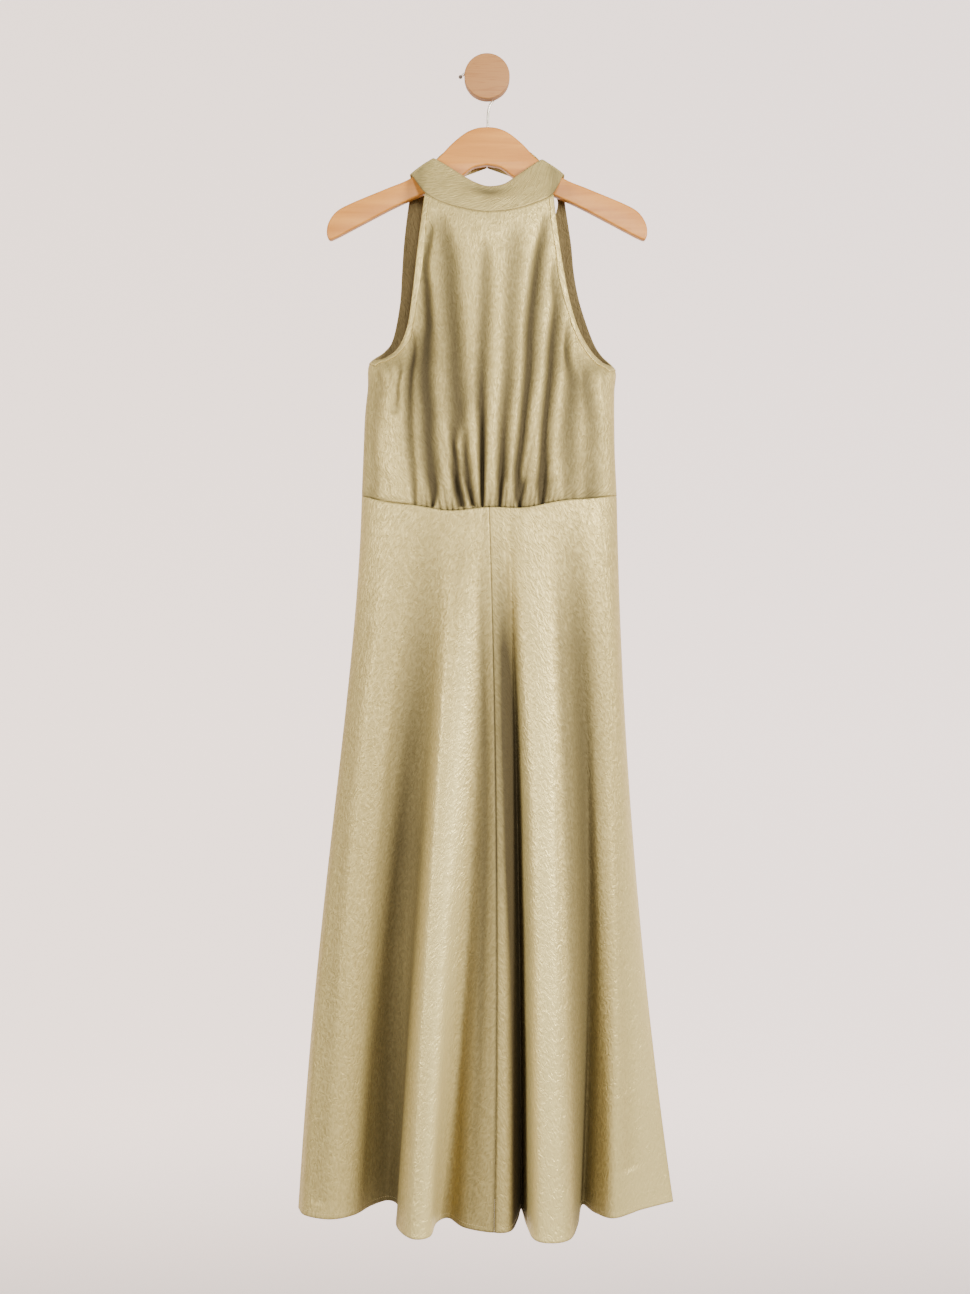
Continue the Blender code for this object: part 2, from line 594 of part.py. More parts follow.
def collar_band(look, collection):
    low, high = collar_sections()
    low = smooth_line(low, COLLAR_STEPS)
    high = smooth_line(high, COLLAR_STEPS)
    rows = [low, 0.5 * (low + high), high]
    normals = [row_normals(row, (0.0, 1.0), (0.0, 1.0)) for row in rows]
    wall("collar_band", rows, normals, COLLAR_WALL, look, collection)


def skirt_row(table, s, height_at, middle):
    """One row of the skirt, front or back, from the left side seam to the right one."""
    line = []
    for x_waist, x_mid, x_hem, y_mid, y_hem in table.values():
        start = waist_depth(x_waist, middle)
        if across_waist(x_waist) > AT_SIDE_SEAM:
            start = math.copysign(SIDE_SEAM, middle)
        x = through_three(s, x_waist, x_mid, x_hem) + hip_ease(s, x_waist)
        line.append((x, through_three(s, start, y_mid, y_hem), x_waist))
    row = smooth_line(np.array(line), SKIRT_STEPS)
    points = []
    for x, y, x_waist in row:
        z = height_at(x_waist) * (1.0 - s) + HEM_Z * s
        points.append((x, y, z - 0.5 * SEAM if s == 0.0 else z))
    return np.array(points)


def skirt_panels(name, table, rows_at, height_at, middle, look, collection):
    """The two panels of the skirt's front or back, parted by the seam down its centre."""
    seam = list(table).index("centre") * SKIRT_STEPS
    rows = [skirt_row(table, s, height_at, middle) for s in rows_at]
    outward = (0.0, math.copysign(1.0, middle))
    for side, part in (("left", slice(0, seam + 1)), ("right", slice(seam, None))):
        left = side == "left"
        panel = [row[part].copy() for row in rows]
        for row in panel:
            row[-1 if left else 0, 0] += -0.5 * SEAM if left else 0.5 * SEAM
        seam_side = (-1.0, 0.0) if left else (1.0, 0.0)
        ends = (seam_side, outward) if left else (outward, seam_side)
        if middle > 0.0:
            panel = [row[::-1] for row in panel]
            ends = ends[::-1]
        normals = [row_normals(row, *ends) for row in panel]
        wall(name + "_" + side, panel, normals, CLOTH, look, collection)


def curve_object(name, points, look, collection, cyclic=False):
    """A curve of straight steps through the points, in the plane of the hanger."""
    data = bpy.data.curves.new(name, "CURVE")
    spline = data.splines.new("POLY")
    spline.points.add(len(points) - 1)
    for slot, (x, z) in zip(spline.points, points):
        slot.co = (x * MM, z * MM, 0.0, 1.0)
    spline.use_cyclic_u = cyclic
    made = bpy.data.objects.new(name, data)
    made.location = (0.0, HANGER_Y * MM, TABLE_Z * MM)
    made.rotation_euler = (math.radians(90.0), 0.0, 0.0)
    data.materials.append(look)
    collection.objects.link(made)
    return made


def hanger(look, collection):
    half = hanger_outline()
    mirrored = half[-2:0:-1] * np.array((-1.0, 1.0))
    made = curve_object("hanger", np.concatenate([half, mirrored]), look, collection, cyclic=True)
    data = made.data
    data.dimensions = "2D"
    data.fill_mode = "BOTH"
    data.extrude = (0.5 * HANGER_THICK - HANGER_EDGE) * MM
    data.bevel_depth = HANGER_EDGE * MM
    data.bevel_resolution = HANGER_ROUND
    data.offset = -HANGER_EDGE * MM


def hook(look, collection):
    line = smooth_line(np.array(HOOK), HOOK_STEPS)
    made = curve_object("hook_wire", line, look, collection)
    made.data.dimensions = "3D"
    made.data.bevel_depth = 0.5 * WIRE * MM
    made.data.bevel_resolution = WIRE_ROUND
    made.data.use_fill_caps = True
    ahead = (line[0] - line[1]) / np.linalg.norm(line[0] - line[1])
    x, z = line[0] + ahead * (HOOK_BALL + SEAM)
    bm = bmesh.new()
    bmesh.ops.create_uvsphere(bm, u_segments=BALL_SIDES, v_segments=BALL_RINGS, radius=HOOK_BALL * MM)
    bmesh.ops.translate(bm, verts=bm.verts, vec=(x * MM, HANGER_Y * MM, (z + TABLE_Z) * MM))
    finish("hook_bead", bm, look, collection, smooth=True)


def wall_peg(look, collection):
    """A dowel with a round disc on its front, turned in one profile."""
    back = -HANGER_Y + PEG_CLEAR
    front = back + DISC_THICK
    profile = ((0.0, front), (DISC_RADIUS - DISC_EDGE, front), (DISC_RADIUS, front - DISC_EDGE),
               (DISC_RADIUS, back + DISC_EDGE), (DISC_RADIUS - DISC_EDGE, back), (DOWEL_RADIUS, back),
               (DOWEL_RADIUS, DOWEL_TAPER), (DOWEL_FOOT, 0.0), (0.0, 0.0))
    bm = bmesh.new()
    points = [bm.verts.new((radius * MM, 0.0, height * MM)) for radius, height in profile]
    for first, second in zip(points[:-1], points[1:]):
        bm.edges.new((first, second))
    made = finish("wall_peg", bm, look, collection)
    made.rotation_euler = (math.radians(90.0), 0.0, 0.0)
    turn = made.modifiers.new("turn", "SCREW")
    turn.steps = PEG_SIDES
    turn.render_steps = PEG_SIDES
    turn.use_merge_vertices = True
    turn.merge_threshold = MERGE


def main():
    clear_scene()
    collection = bpy.data.collections.new("halter_dress")
    bpy.context.scene.collection.children.link(collection)
    satin = material("crinkle_satin", DRESS_COLOUR, 0.42)
    inside = material("crinkle_satin_back", SHADE_COLOUR, 0.5)
    beech = material("beech_wood", HANGER_COLOUR, 0.5)
    pine = material("pine_wood", PEG_COLOUR, 0.55)
    steel = material("pale_steel", STEEL_COLOUR, 0.3, metallic=1.0)

    wall_peg(pine, collection)
    hook(steel, collection)
    hanger(beech, collection)
    collar_band(satin, collection)
    front_bodice(satin, collection)
    back_bodice("left", BACK_LEFT, ("strap_left", "arm_left_in"), inside, collection)
    back_bodice("right", BACK_RIGHT, ("strap_right", "arm_right_in"), inside, collection)
    skirt_panels("skirt_front", SKIRT_FRONT, SKIRT_FRONT_ROWS, waist_height, WAIST_FRONT, satin, collection)
    skirt_panels("skirt_back", SKIRT_BACK, SKIRT_BACK_ROWS, waist_back_height, WAIST_BACK, inside, collection)


main()
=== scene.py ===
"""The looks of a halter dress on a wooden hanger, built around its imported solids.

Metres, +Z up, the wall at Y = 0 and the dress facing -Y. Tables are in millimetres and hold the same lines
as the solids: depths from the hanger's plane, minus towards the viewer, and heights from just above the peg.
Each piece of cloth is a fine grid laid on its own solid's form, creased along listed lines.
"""
import math

import bmesh
import bpy
import numpy as np
from mathutils import Matrix, Vector, noise


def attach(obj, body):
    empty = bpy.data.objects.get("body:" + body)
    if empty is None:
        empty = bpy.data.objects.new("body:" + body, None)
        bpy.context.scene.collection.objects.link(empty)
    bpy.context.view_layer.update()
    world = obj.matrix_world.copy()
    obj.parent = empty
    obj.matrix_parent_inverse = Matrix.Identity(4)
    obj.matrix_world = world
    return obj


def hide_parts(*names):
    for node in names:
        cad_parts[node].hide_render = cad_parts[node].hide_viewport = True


bl_info = {
    "name": "Halter dress",
    "version": (1, 0, 0),
    "blender": (4, 5, 0),
    "location": "View3D > Sidebar > Halter dress",
    "description": "Builds the cloth, the hanger, the hook and the peg of a hung halter dress",
    "category": "Add Mesh",
}

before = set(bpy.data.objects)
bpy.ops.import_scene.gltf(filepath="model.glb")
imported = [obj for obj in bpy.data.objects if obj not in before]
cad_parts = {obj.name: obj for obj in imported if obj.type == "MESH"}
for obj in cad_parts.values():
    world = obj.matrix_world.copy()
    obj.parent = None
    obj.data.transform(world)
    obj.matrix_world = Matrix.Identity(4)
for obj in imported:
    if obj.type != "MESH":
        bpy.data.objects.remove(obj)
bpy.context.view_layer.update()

MM = 0.001

HANGER_Y = -60.0
TABLE_Z = 8.5
SEAM = 0.3
COLLAR_SEAM = 0.55
SIDE_SEAM = 0.2
WAIST_LEFT = -171.9
WAIST_RIGHT = 178.1
WAIST_SIDE_Z = -580.0
WAIST_DIP = 22.0
WAIST_WAVE = 2.2
WAIST_WAVE_LENGTH = 104.0
WAIST_TILT = 0.05
WAIST_FRONT = -54.0
WAIST_BACK = 22.0
WAIST_BACK_DIP = 10.0
WAIST_SQUARE = 2.6
WAIST_ROUND = 0.55
HEM_Z = -1560.0
SKIRT_MID = 0.63
HIP_EASE = 9.5
HIP_EASE_END = -90.0

# Front bodice stations from the waist up: left edge x, depth, height; right edge the same; depth and
# height of the middle; exponents of the line between and of the bulge.
FRONT_STATIONS = np.array((
    (-171.9, -0.2, -580.0, 178.1, -0.2, -580.0, -54.0, -600.0, 2.0, 2.6, 0.55),
    (-169.6, -0.2, -522.0, 175.4, -0.2, -522.0, -58.0, -530.0, 2.0, 2.6, 0.55),
    (-167.4, -0.2, -470.0, 174.6, -0.2, -470.0, -60.0, -482.0, 3.0, 2.5, 0.58),
    (-163.5, -0.2, -432.0, 174.8, -0.2, -436.0, -61.0, -450.0, 4.0, 2.4, 0.62),
    (-161.3, -0.2, -399.0, 175.9, -0.2, -408.0, -61.0, -424.0, 5.0, 2.3, 0.68),
    (-140.0, -5.0, -392.5, 157.0, -5.0, -398.0, -61.0, -405.0, 5.0, 2.2, 0.80),
    (-120.8, -12.0, -379.5, 139.5, -12.0, -381.0, -60.0, -385.0, 5.0, 2.1, 0.92),
    (-108.0, -19.0, -352.0, 123.0, -18.0, -352.0, -60.0, -355.0, 4.0, 2.0, 1.00),
    (-100.8, -26.0, -310.0, 109.9, -25.0, -310.0, -59.0, -312.0, 3.0, 2.0, 1.00),
    (-93.6, -31.0, -250.0, 98.6, -30.0, -250.0, -58.0, -264.0, 2.5, 2.0, 1.00),
    (-87.5, -33.0, -205.0, 92.0, -33.5, -205.0, -57.0, -228.0, 2.0, 2.0, 0.90),
))
FRONT_ROWS = (30, 20, 13, 11, 6, 7, 9, 12, 16, 12, 9)   # grid rows between stations, the last to the collar
FRONT_COLUMNS = 320
ARMHOLE_STATION = 4

# Halves of the back bodice: outer edge x, depth, height, then the inner edge the same.
BACK_LEFT = np.array((
    (-171.9, 0.2, -580.0, -0.2, 22.0, -590.0),
    (-169.6, 0.2, -522.0, -0.2, 26.0, -528.0),
    (-167.4, 0.2, -470.0, -0.2, 28.0, -480.0),
    (-163.5, 0.2, -432.0, -0.2, 29.0, -448.0),
    (-161.3, 0.2, -399.0, -0.2, 29.0, -424.0),
    (-141.0, 8.0, -380.0, -0.2, 29.0, -400.0),
    (-129.5, 13.5, -360.0, -0.2, 28.0, -374.0),
    (-120.8, 20.0, -311.5, -32.0, 27.0, -322.0),
    (-118.0, 20.0, -270.0, -56.0, 25.0, -276.0),
    (-115.1, 18.0, -229.0, -72.0, 22.5, -235.0),
    (-110.8, 14.5, -192.5, -82.0, 17.5, -197.0),
    (-106.5, 11.0, -165.0, -86.0, 13.5, -168.0),
))
BACK_RIGHT = np.array((
    (178.1, 0.2, -580.0, 0.2, 22.0, -590.0),
    (175.4, 0.2, -522.0, 0.2, 26.0, -528.0),
    (174.6, 0.2, -470.0, 0.2, 28.0, -480.0),
    (174.8, 0.2, -436.0, 0.2, 29.0, -448.0),
    (175.9, 0.2, -408.0, 0.2, 29.0, -424.0),
    (157.3, 8.0, -385.0, 0.2, 29.0, -400.0),
    (145.3, 13.5, -361.6, 0.2, 28.0, -374.0),
    (129.2, 20.0, -311.5, 36.0, 27.0, -322.0),
    (120.8, 20.0, -270.0, 60.0, 25.0, -276.0),
    (116.6, 18.0, -229.0, 77.0, 22.5, -235.0),
    (110.8, 14.5, -192.5, 91.0, 17.5, -199.0),
    (107.1, 11.0, -170.0, 98.0, 13.0, -172.0),
))
BACK_ROWS = (20, 16, 12, 10, 6, 7, 14, 12, 12, 10, 8, 3)
BACK_COLUMNS = 64
OPENING_STATION = 6
STRAP_ENDS = {"left": (2.0, 3.0), "right": (16.0, 15.0)}   # collar sections at a strap's inner and outer edge

# Collar sections round from the nape: lower edge x, depth, height, then the upper edge. A height of None
# lies on the hanger's arm.
COLLAR = (
    (-0.3, 18.0, -123.0, -0.3, 16.0, -80.0),
    (-50.0, 16.0, -141.0, -38.0, 14.0, -90.0),
    (-86.0, 12.5, -149.0, -61.0, 11.0, -105.0),
    (-102.0, 8.6, None, -71.6, 8.4, None),
    (-104.8, 0.0, None, -73.6, 0.0, None),
    (-103.0, -8.8, None, -72.0, -8.4, None),
    (-83.2, -33.0, -172.9, -52.0, -17.0, -133.0),
    (-53.7, -46.0, -191.5, -33.0, -25.0, -147.6),
    (-20.0, -53.0, -201.8, -16.0, -30.0, -158.6),
    (2.6, -54.0, -204.1, 2.0, -32.0, -164.4),
    (33.4, -52.0, -200.8, 23.0, -29.5, -160.5),
    (64.4, -44.0, -189.5, 40.0, -23.0, -147.5),
    (88.8, -33.0, -174.0, 57.0, -15.5, -133.5),
    (104.0, -8.8, None, 74.0, -8.4, None),
    (105.6, 0.0, None, 75.4, 0.0, None),
    (103.0, 8.6, None, 73.6, 8.4, None),
    (88.0, 12.5, -149.0, 63.0, 11.0, -106.0),
    (51.0, 16.0, -141.0, 39.0, 14.0, -90.0),
    (0.3, 18.0, -123.0, 0.3, 16.0, -80.0),
)
COLLAR_FRONT = (6.0, 12.0)
COLLAR_ON_HANGER = 1.25
COLLAR_COLUMNS = 380
COLLAR_ROWS = 26

# Lines down the skirt: x at the waist, at mid length and at the hem, depth at mid length and at the hem.
SKIRT_FRONT = np.array((
    (-171.9, -232.8, -259.8, -0.2, 4.8),
    (-163.0, -223.0, -247.0, -19.0, -22.0),
    (-134.0, -192.0, -212.0, -36.0, -36.0),
    (-104.0, -164.4, -181.1, -26.0, -20.0),
    (-87.0, -147.0, -161.0, -4.0, 12.0),
    (-70.0, -126.0, -138.0, 10.0, 32.0),
    (-58.0, -105.0, -122.0, -6.0, 10.0),
    (-48.0, -95.6, -120.5, -44.0, -56.0),
    (-36.0, -80.0, -99.4, -72.0, -100.0),
    (-21.0, -58.0, -76.0, -72.0, -94.0),
    (-12.5, -42.0, -68.5, -53.0, -48.0),
    (-6.5, -27.0, -52.0, -43.0, -31.0),
    (-1.5, -10.0, -30.0, -56.0, -64.0),
    (2.75, 12.7, 9.1, -66.0, -81.0),
    (14.0, 27.9, 31.0, -62.0, -75.0),
    (22.0, 37.7, 41.2, -40.0, -35.0),
    (29.5, 44.5, 47.2, -12.0, 3.0),
    (38.0, 52.0, 53.6, -48.0, -56.0),
    (48.0, 63.0, 62.4, -74.0, -104.0),
    (64.0, 81.0, 84.1, -82.0, -115.0),
    (84.0, 103.1, 108.1, -76.0, -102.0),
    (98.0, 121.8, 121.0, -52.0, -54.0),
    (114.0, 138.0, 131.5, -14.0, 17.0),
    (128.0, 153.0, 147.5, -29.0, -12.0),
    (144.0, 172.6, 172.0, -37.0, -32.0),
    (160.0, 193.0, 210.2, -22.0, -3.0),
    (172.5, 208.0, 243.1, -4.0, 18.0),
    (178.1, 214.2, 259.4, 9.8, 27.8),
))
SKIRT_FRONT_SEAM = 13
SKIRT_BACK = np.array((
    (-171.9, -232.8, -259.8, 0.2, 5.2),
    (-158.0, -218.0, -246.0, 24.0, 34.0),
    (-124.0, -180.0, -206.0, 33.0, 52.0),
    (-84.0, -128.0, -150.0, 26.0, 41.0),
    (-44.0, -66.0, -82.0, 32.0, 50.0),
    (0.0, 0.0, 0.0, 30.0, 36.0),
    (44.0, 62.0, 76.0, 33.0, 51.0),
    (86.0, 112.0, 134.0, 27.0, 36.0),
    (128.0, 160.0, 196.0, 34.0, 53.0),
    (164.0, 200.0, 246.0, 26.0, 46.0),
    (178.1, 214.2, 259.4, 10.2, 28.2),
))
SKIRT_BACK_SEAM = 5
SKIRT_FRONT_GRID = (112, 400)
SKIRT_BACK_GRID = (76, 240)

# Creases of the front bodice: height, x, depth and half width down the line. They fan up from the gathers,
# reach the armholes and fade under the collar.
BODICE_CREASES = {
    "armhole_left": ((-351, -101.5, 0.0, 3.8), (-391, -104.2, 7.4, 4.6), (-431, -106.9, 7.5, 5.4),
        (-471, -106.9, 6.9, 6.1), (-511, -105.5, 6.1, 6.1), (-551, -101.5, 5.3, 5.4),
        (-583, -98.9, 5.0, 3.8), (-599, -97.5, 2.8, 3.1)),
    "armhole_left_fine": ((-391, -117.6, 0.0, 3.1), (-411, -118.9, 3.4, 3.1), (-431, -121.6, 3.2, 3.1),
        (-451, -122.9, 3.9, 3.8), (-473, -124.2, 1.5, 4.6)),
    "side_left": ((-404, -152.3, 0.0, 6.1), (-431, -150.9, 2.0, 10.7), (-471, -154.9, 2.2, 8.4),
        (-511, -158.9, 2.1, 6.9), (-551, -156.3, 2.2, 7.7), (-583, -158.9, 2.6, 9.2),
        (-602, -158.9, 1.8, 9.2)),
    "left_deep": ((-209, -74.8, 0.0, 3.8), (-231, -78.8, 5.0, 4.6), (-271, -85.5, 6.7, 5.4),
        (-311, -84.2, 8.0, 6.9), (-351, -82.8, 8.6, 8.4), (-377, -85.5, 8.6, 11.5),
        (-431, -85.5, 8.7, 12.3), (-471, -81.5, 8.6, 11.5), (-511, -80.2, 8.4, 10.7),
        (-551, -76.2, 8.1, 10.0), (-583, -72.2, 8.0, 4.6), (-599, -73.5, 6.8, 3.1)),
    "left_inner": ((-198, -66.8, 0.0, 7.7), (-231, -58.8, 4.5, 10.0), (-271, -53.5, 6.0, 12.3),
        (-331, -49.5, 7.0, 13.0), (-391, -45.5, 7.6, 13.0), (-451, -41.5, 7.9, 13.8),
        (-477, -41.5, 7.5, 11.5), (-511, -45.5, 7.8, 5.4), (-531, -44.1, 8.6, 4.6),
        (-571, -40.1, 9.2, 5.4), (-583, -37.5, 8.9, 6.1), (-599, -33.5, 6.8, 4.6)),
    "left_branch": ((-448, -33.5, 0.0, 4.6), (-484, -31.5, 2.4, 5.4), (-506, -30.1, 6.2, 5.0),
        (-531, -29.1, 8.0, 4.8), (-551, -26.8, 8.2, 5.4), (-571, -24.1, 8.4, 4.6), (-583, -21.4, 8.6, 3.8),
        (-599, -18.8, 7.0, 3.1)),
    "middle": ((-239, -4.1, 0.0, 5.4), (-271, -2.8, 3.9, 6.9), (-331, -4.1, 5.4, 8.4),
        (-391, -6.8, 6.4, 8.4), (-451, -8.1, 7.5, 7.7), (-491, -6.8, 8.6, 5.4), (-531, -6.8, 9.2, 4.6),
        (-551, -6.8, 9.3, 3.8), (-571, -6.8, 8.7, 3.1), (-583, -6.8, 7.8, 3.1), (-599, -6.8, 5.5, 2.3)),
    "right_of_middle": ((-209, 40.0, 0.0, 10.7), (-251, 37.3, 3.4, 10.7), (-311, 33.3, 4.5, 9.2),
        (-371, 30.6, 5.3, 8.4), (-431, 28.0, 6.8, 7.7), (-491, 22.6, 7.6, 6.9), (-551, 19.9, 8.4, 6.1),
        (-571, 18.6, 8.4, 3.8), (-591, 17.3, 7.7, 3.1), (-602, 15.9, 5.5, 3.1)),
    "right_deep": ((-196, 82.7, 0.0, 4.6), (-231, 77.3, 5.5, 5.4), (-251, 73.3, 7.3, 6.1),
        (-291, 68.0, 8.3, 7.7), (-351, 61.3, 8.7, 8.4), (-411, 57.3, 9.2, 7.7), (-471, 50.6, 9.3, 6.1),
        (-511, 46.6, 9.3, 6.1), (-551, 41.3, 9.1, 5.4), (-571, 42.6, 8.3, 6.1), (-591, 42.6, 8.5, 3.8),
        (-602, 44.0, 6.8, 3.1)),
    "right_outer": ((-257, 93.4, 0.0, 3.8), (-291, 93.4, 4.5, 5.4), (-313, 96.0, 5.8, 6.1),
        (-331, 96.0, 7.3, 6.1), (-371, 92.0, 8.5, 7.7), (-431, 85.4, 8.8, 6.9), (-491, 78.7, 8.9, 6.1),
        (-551, 76.0, 8.9, 6.1), (-571, 76.0, 8.5, 6.9), (-591, 74.7, 7.1, 4.6), (-602, 74.7, 4.5, 3.8)),
    "armhole_right": ((-340, 112.1, 0.0, 3.1), (-371, 110.7, 6.5, 3.8), (-391, 110.7, 7.6, 4.6),
        (-411, 113.4, 6.9, 6.9), (-431, 116.1, 6.9, 9.2), (-471, 113.4, 6.3, 10.7),
        (-511, 110.7, 5.8, 11.5), (-551, 112.1, 4.9, 10.7), (-583, 113.4, 3.5, 9.2),
        (-599, 113.4, 2.1, 9.2)),
    "side_right": ((-391, 137.4, 0.0, 6.1), (-417, 136.1, 5.5, 6.9), (-451, 138.8, 5.7, 8.4),
        (-491, 144.1, 4.5, 10.7), (-531, 142.8, 4.2, 12.3), (-583, 141.4, 5.4, 12.3),
        (-602, 141.4, 4.0, 12.3)),
    "pull_left_1": ((-384, -126, 0.0, 4.0), (-398, -121, 1.6, 4.0), (-430, -116, 1.0, 4.5), (-466, -113, 0.0, 5.0)),
    "pull_left_2": ((-392, -140, 0.0, 3.5), (-404, -136, 1.3, 3.5), (-428, -128, 0.8, 4.0), (-452, -124, 0.0, 4.0)),
    "pull_left_3": ((-396, -153, 0.0, 4.0), (-412, -149, 1.1, 4.0), (-446, -143, 0.0, 4.5)),
    "pull_right_1": ((-380, 128, 0.0, 4.0), (-396, 126, 1.5, 4.0), (-430, 124, 1.0, 4.5), (-470, 126, 0.0, 5.0)),
    "pull_right_2": ((-394, 150, 0.0, 3.5), (-408, 148, 1.4, 3.5), (-436, 147, 0.9, 4.0), (-470, 150, 0.0, 4.0)),
    "pull_right_3": ((-402, 163, 0.0, 3.5), (-416, 161, 1.2, 3.5), (-452, 160, 0.0, 4.0)),
}
# Gathers at the waist seam: x, how far the line leans for each millimetre up, the height over which it
# fades, half width and depth.
GATHERS = (
    (-97.7, -0.10, 14.0, 3.2, 1.0), (-88.5, -0.12, 18.0, 2.6, 1.6), (-81.7, -0.10, 26.0, 2.6, 2.4),
    (-74.3, -0.12, 34.0, 2.8, 2.2), (-63.0, -0.16, 30.0, 2.6, 2.6), (-53.6, -0.20, 40.0, 2.4, 2.4),
    (-46.2, -0.14, 22.0, 2.2, 2.8), (-38.9, -0.10, 44.0, 2.6, 2.6), (-30.8, -0.32, 62.0, 2.4, 3.2),
    (-18.8, -0.28, 54.0, 2.4, 3.0), (-12.9, -0.08, 20.0, 2.2, 2.2), (-5.8, -0.01, 110.0, 2.4, 4.2),
    (2.6, 0.06, 22.0, 2.4, 2.2), (10.6, 0.10, 36.0, 2.2, 2.6), (17.3, 0.05, 60.0, 2.2, 3.0),
    (24.0, 0.06, 46.0, 2.2, 2.4), (30.7, 0.12, 20.0, 2.0, 1.8), (35.4, 0.16, 34.0, 2.2, 2.4),
    (44.1, 0.20, 70.0, 2.6, 3.4), (50.1, 0.10, 24.0, 2.2, 2.2), (56.1, 0.12, 30.0, 2.4, 2.4),
    (62.8, 0.16, 44.0, 2.4, 2.4), (69.0, 0.10, 26.0, 2.2, 2.2), (75.4, 0.12, 56.0, 2.6, 3.0),
    (82.2, 0.16, 26.0, 2.2, 2.0), (88.6, 0.12, 22.0, 2.4, 1.8), (95.6, 0.10, 18.0, 2.6, 1.4),
    (105.6, 0.10, 22.0, 3.0, 1.2), (117.7, 0.06, 16.0, 3.2, 0.8),
)
GATHER_BLOUSE = 1.6       # how far the bodice stands out just over the seam
SKIRT_GATHER_SHARE = 0.3
# The creases' depth also sets a painted shade in the satin's colour; a crease this deep gets the darkest painted
# shade.
CREASE_FULL_SHADE = 8.5        # a crease this deep is the darkest

# Smaller folds of the skirt's front: as the creases of the bodice, with heights down the skirt.
SKIRT_CREASES = {
    "fold_left_strip": ((-640, -34, 0.0, 5.6), (-720, -40, 2.0, 5.6), (-900, -51, 2.4, 5.6),
        (-1100, -66, 2.4, 5.6), (-1400, -84, 2.0, 5.6), (-1540, -92, 0.6, 5.6)),
    "fold_right_face": ((-690, 92, 0.0, 7.2), (-860, 96, 2.2, 7.2), (-1060, 99, 3.0, 7.2),
        (-1280, 101, 2.0, 7.2), (-1500, 103, 0.4, 7.2)),
    "left_panel_soft": ((-660, -150, 0.0, 11.2), (-860, -182, 1.6, 11.2), (-1200, -212, 2.4, 11.2),
        (-1540, -230, 1.6, 11.2)),
    "right_panel_soft": ((-640, 150, 0.0, 9.6), (-900, 168, 1.4, 9.6), (-1200, 188, 2.0, 9.6),
        (-1500, 196, 2.6, 9.6)),
    "centre_left": ((-640, -14, 0.0, 4.0), (-760, -9, 1.2, 4.0), (-1000, -2, 1.0, 4.0),
        (-1300, -9, 1.0, 4.0), (-1540, -20, 0.4, 4.0)),
}
# Painted shade in the valleys between the skirt's folds, a darker tone mixed into the base colour: the line it
# lies on, its half widths in lines to the left and to the right, how steep each side is, and how dark it is at
# these shares of the length down.
VALLEY_SHARES = (0.0, 0.08, 0.20, 0.32, 0.48, 0.64, 0.80, 1.0)
FRONT_VALLEY_SHADES = (
    (5.0, 1.8, 2.2, 2.0, 2.0, (0.0, 0.32, 0.64, 0.72, 0.28, 0.0, 0.0, 0.0)),
    (4.9, 1.6, 2.45, 2.0, 7.0, (0.0, 0.0, 0.0, 0.08, 0.58, 0.76, 0.78, 0.78)),
    (11.6, 1.5, 2.0, 2.0, 1.6, (0.0, 0.16, 0.56, 0.76, 0.84, 0.80, 0.70, 0.64)),
    (14.3, 1.1, 2.4, 2.0, 2.0, (0.0, 0.32, 0.85, 0.80, 0.50, 0.0, 0.0, 0.0)),
    (15.2, 1.3, 1.5, 5.0, 6.0, (0.0, 0.0, 0.10, 0.50, 0.92, 0.96, 0.96, 0.96)),
    (21.9, 2.2, 1.6, 1.6, 2.0, (0.0, 0.42, 0.80, 0.88, 0.88, 0.82, 0.78, 0.76)),
)
# Painted highlights on the ridges of the skirt's front, a lighter tone mixed into the base colour, in the same
# columns.
FRONT_RIDGE_HIGHLIGHTS = (
    (9.1, 1.5, 1.4, 2.0, 2.0, (0.0, 0.0, 0.50, 0.85, 1.0, 1.0, 0.9, 0.8)),
    (19.0, 1.6, 1.2, 2.0, 5.0, (0.0, 0.20, 0.55, 0.85, 1.0, 1.0, 0.9, 0.8)),
    (25.2, 1.8, 2.4, 2.0, 4.0, (0.0, 0.0, 0.05, 0.20, 0.45, 0.65, 0.75, 0.80)),
)
# Painted highlights on the ridges of the skirt's back, in the same columns.
BACK_RIDGE_HIGHLIGHTS = (
    (1.6, 0.5, 0.5, 2.0, 2.0, (0.0, 0.05, 0.15, 0.30, 0.40, 0.45, 0.45, 0.45)),
    (6.0, 0.5, 0.5, 2.0, 2.0, (0.0, 0.05, 0.20, 0.30, 0.40, 0.40, 0.40, 0.40)),
    (8.0, 0.5, 0.5, 2.0, 2.0, (0.0, 0.05, 0.15, 0.25, 0.35, 0.40, 0.45, 0.45)),
)
# Painted shade in the valleys of the skirt's back, in the same columns.
BACK_VALLEY_SHADES = (
    (2.6, 0.6, 0.7, 2.0, 2.0, (0.0, 0.10, 0.20, 0.30, 0.36, 0.40, 0.44, 0.46)),
    (3.9, 0.5, 0.5, 2.0, 2.0, (0.0, 0.06, 0.14, 0.22, 0.26, 0.30, 0.30, 0.28)),
    (6.9, 0.5, 0.6, 2.0, 2.0, (0.0, 0.08, 0.18, 0.26, 0.32, 0.34, 0.36, 0.36)),
    (8.8, 0.6, 0.5, 2.0, 2.0, (0.0, 0.04, 0.10, 0.20, 0.28, 0.34, 0.40, 0.42)),
)
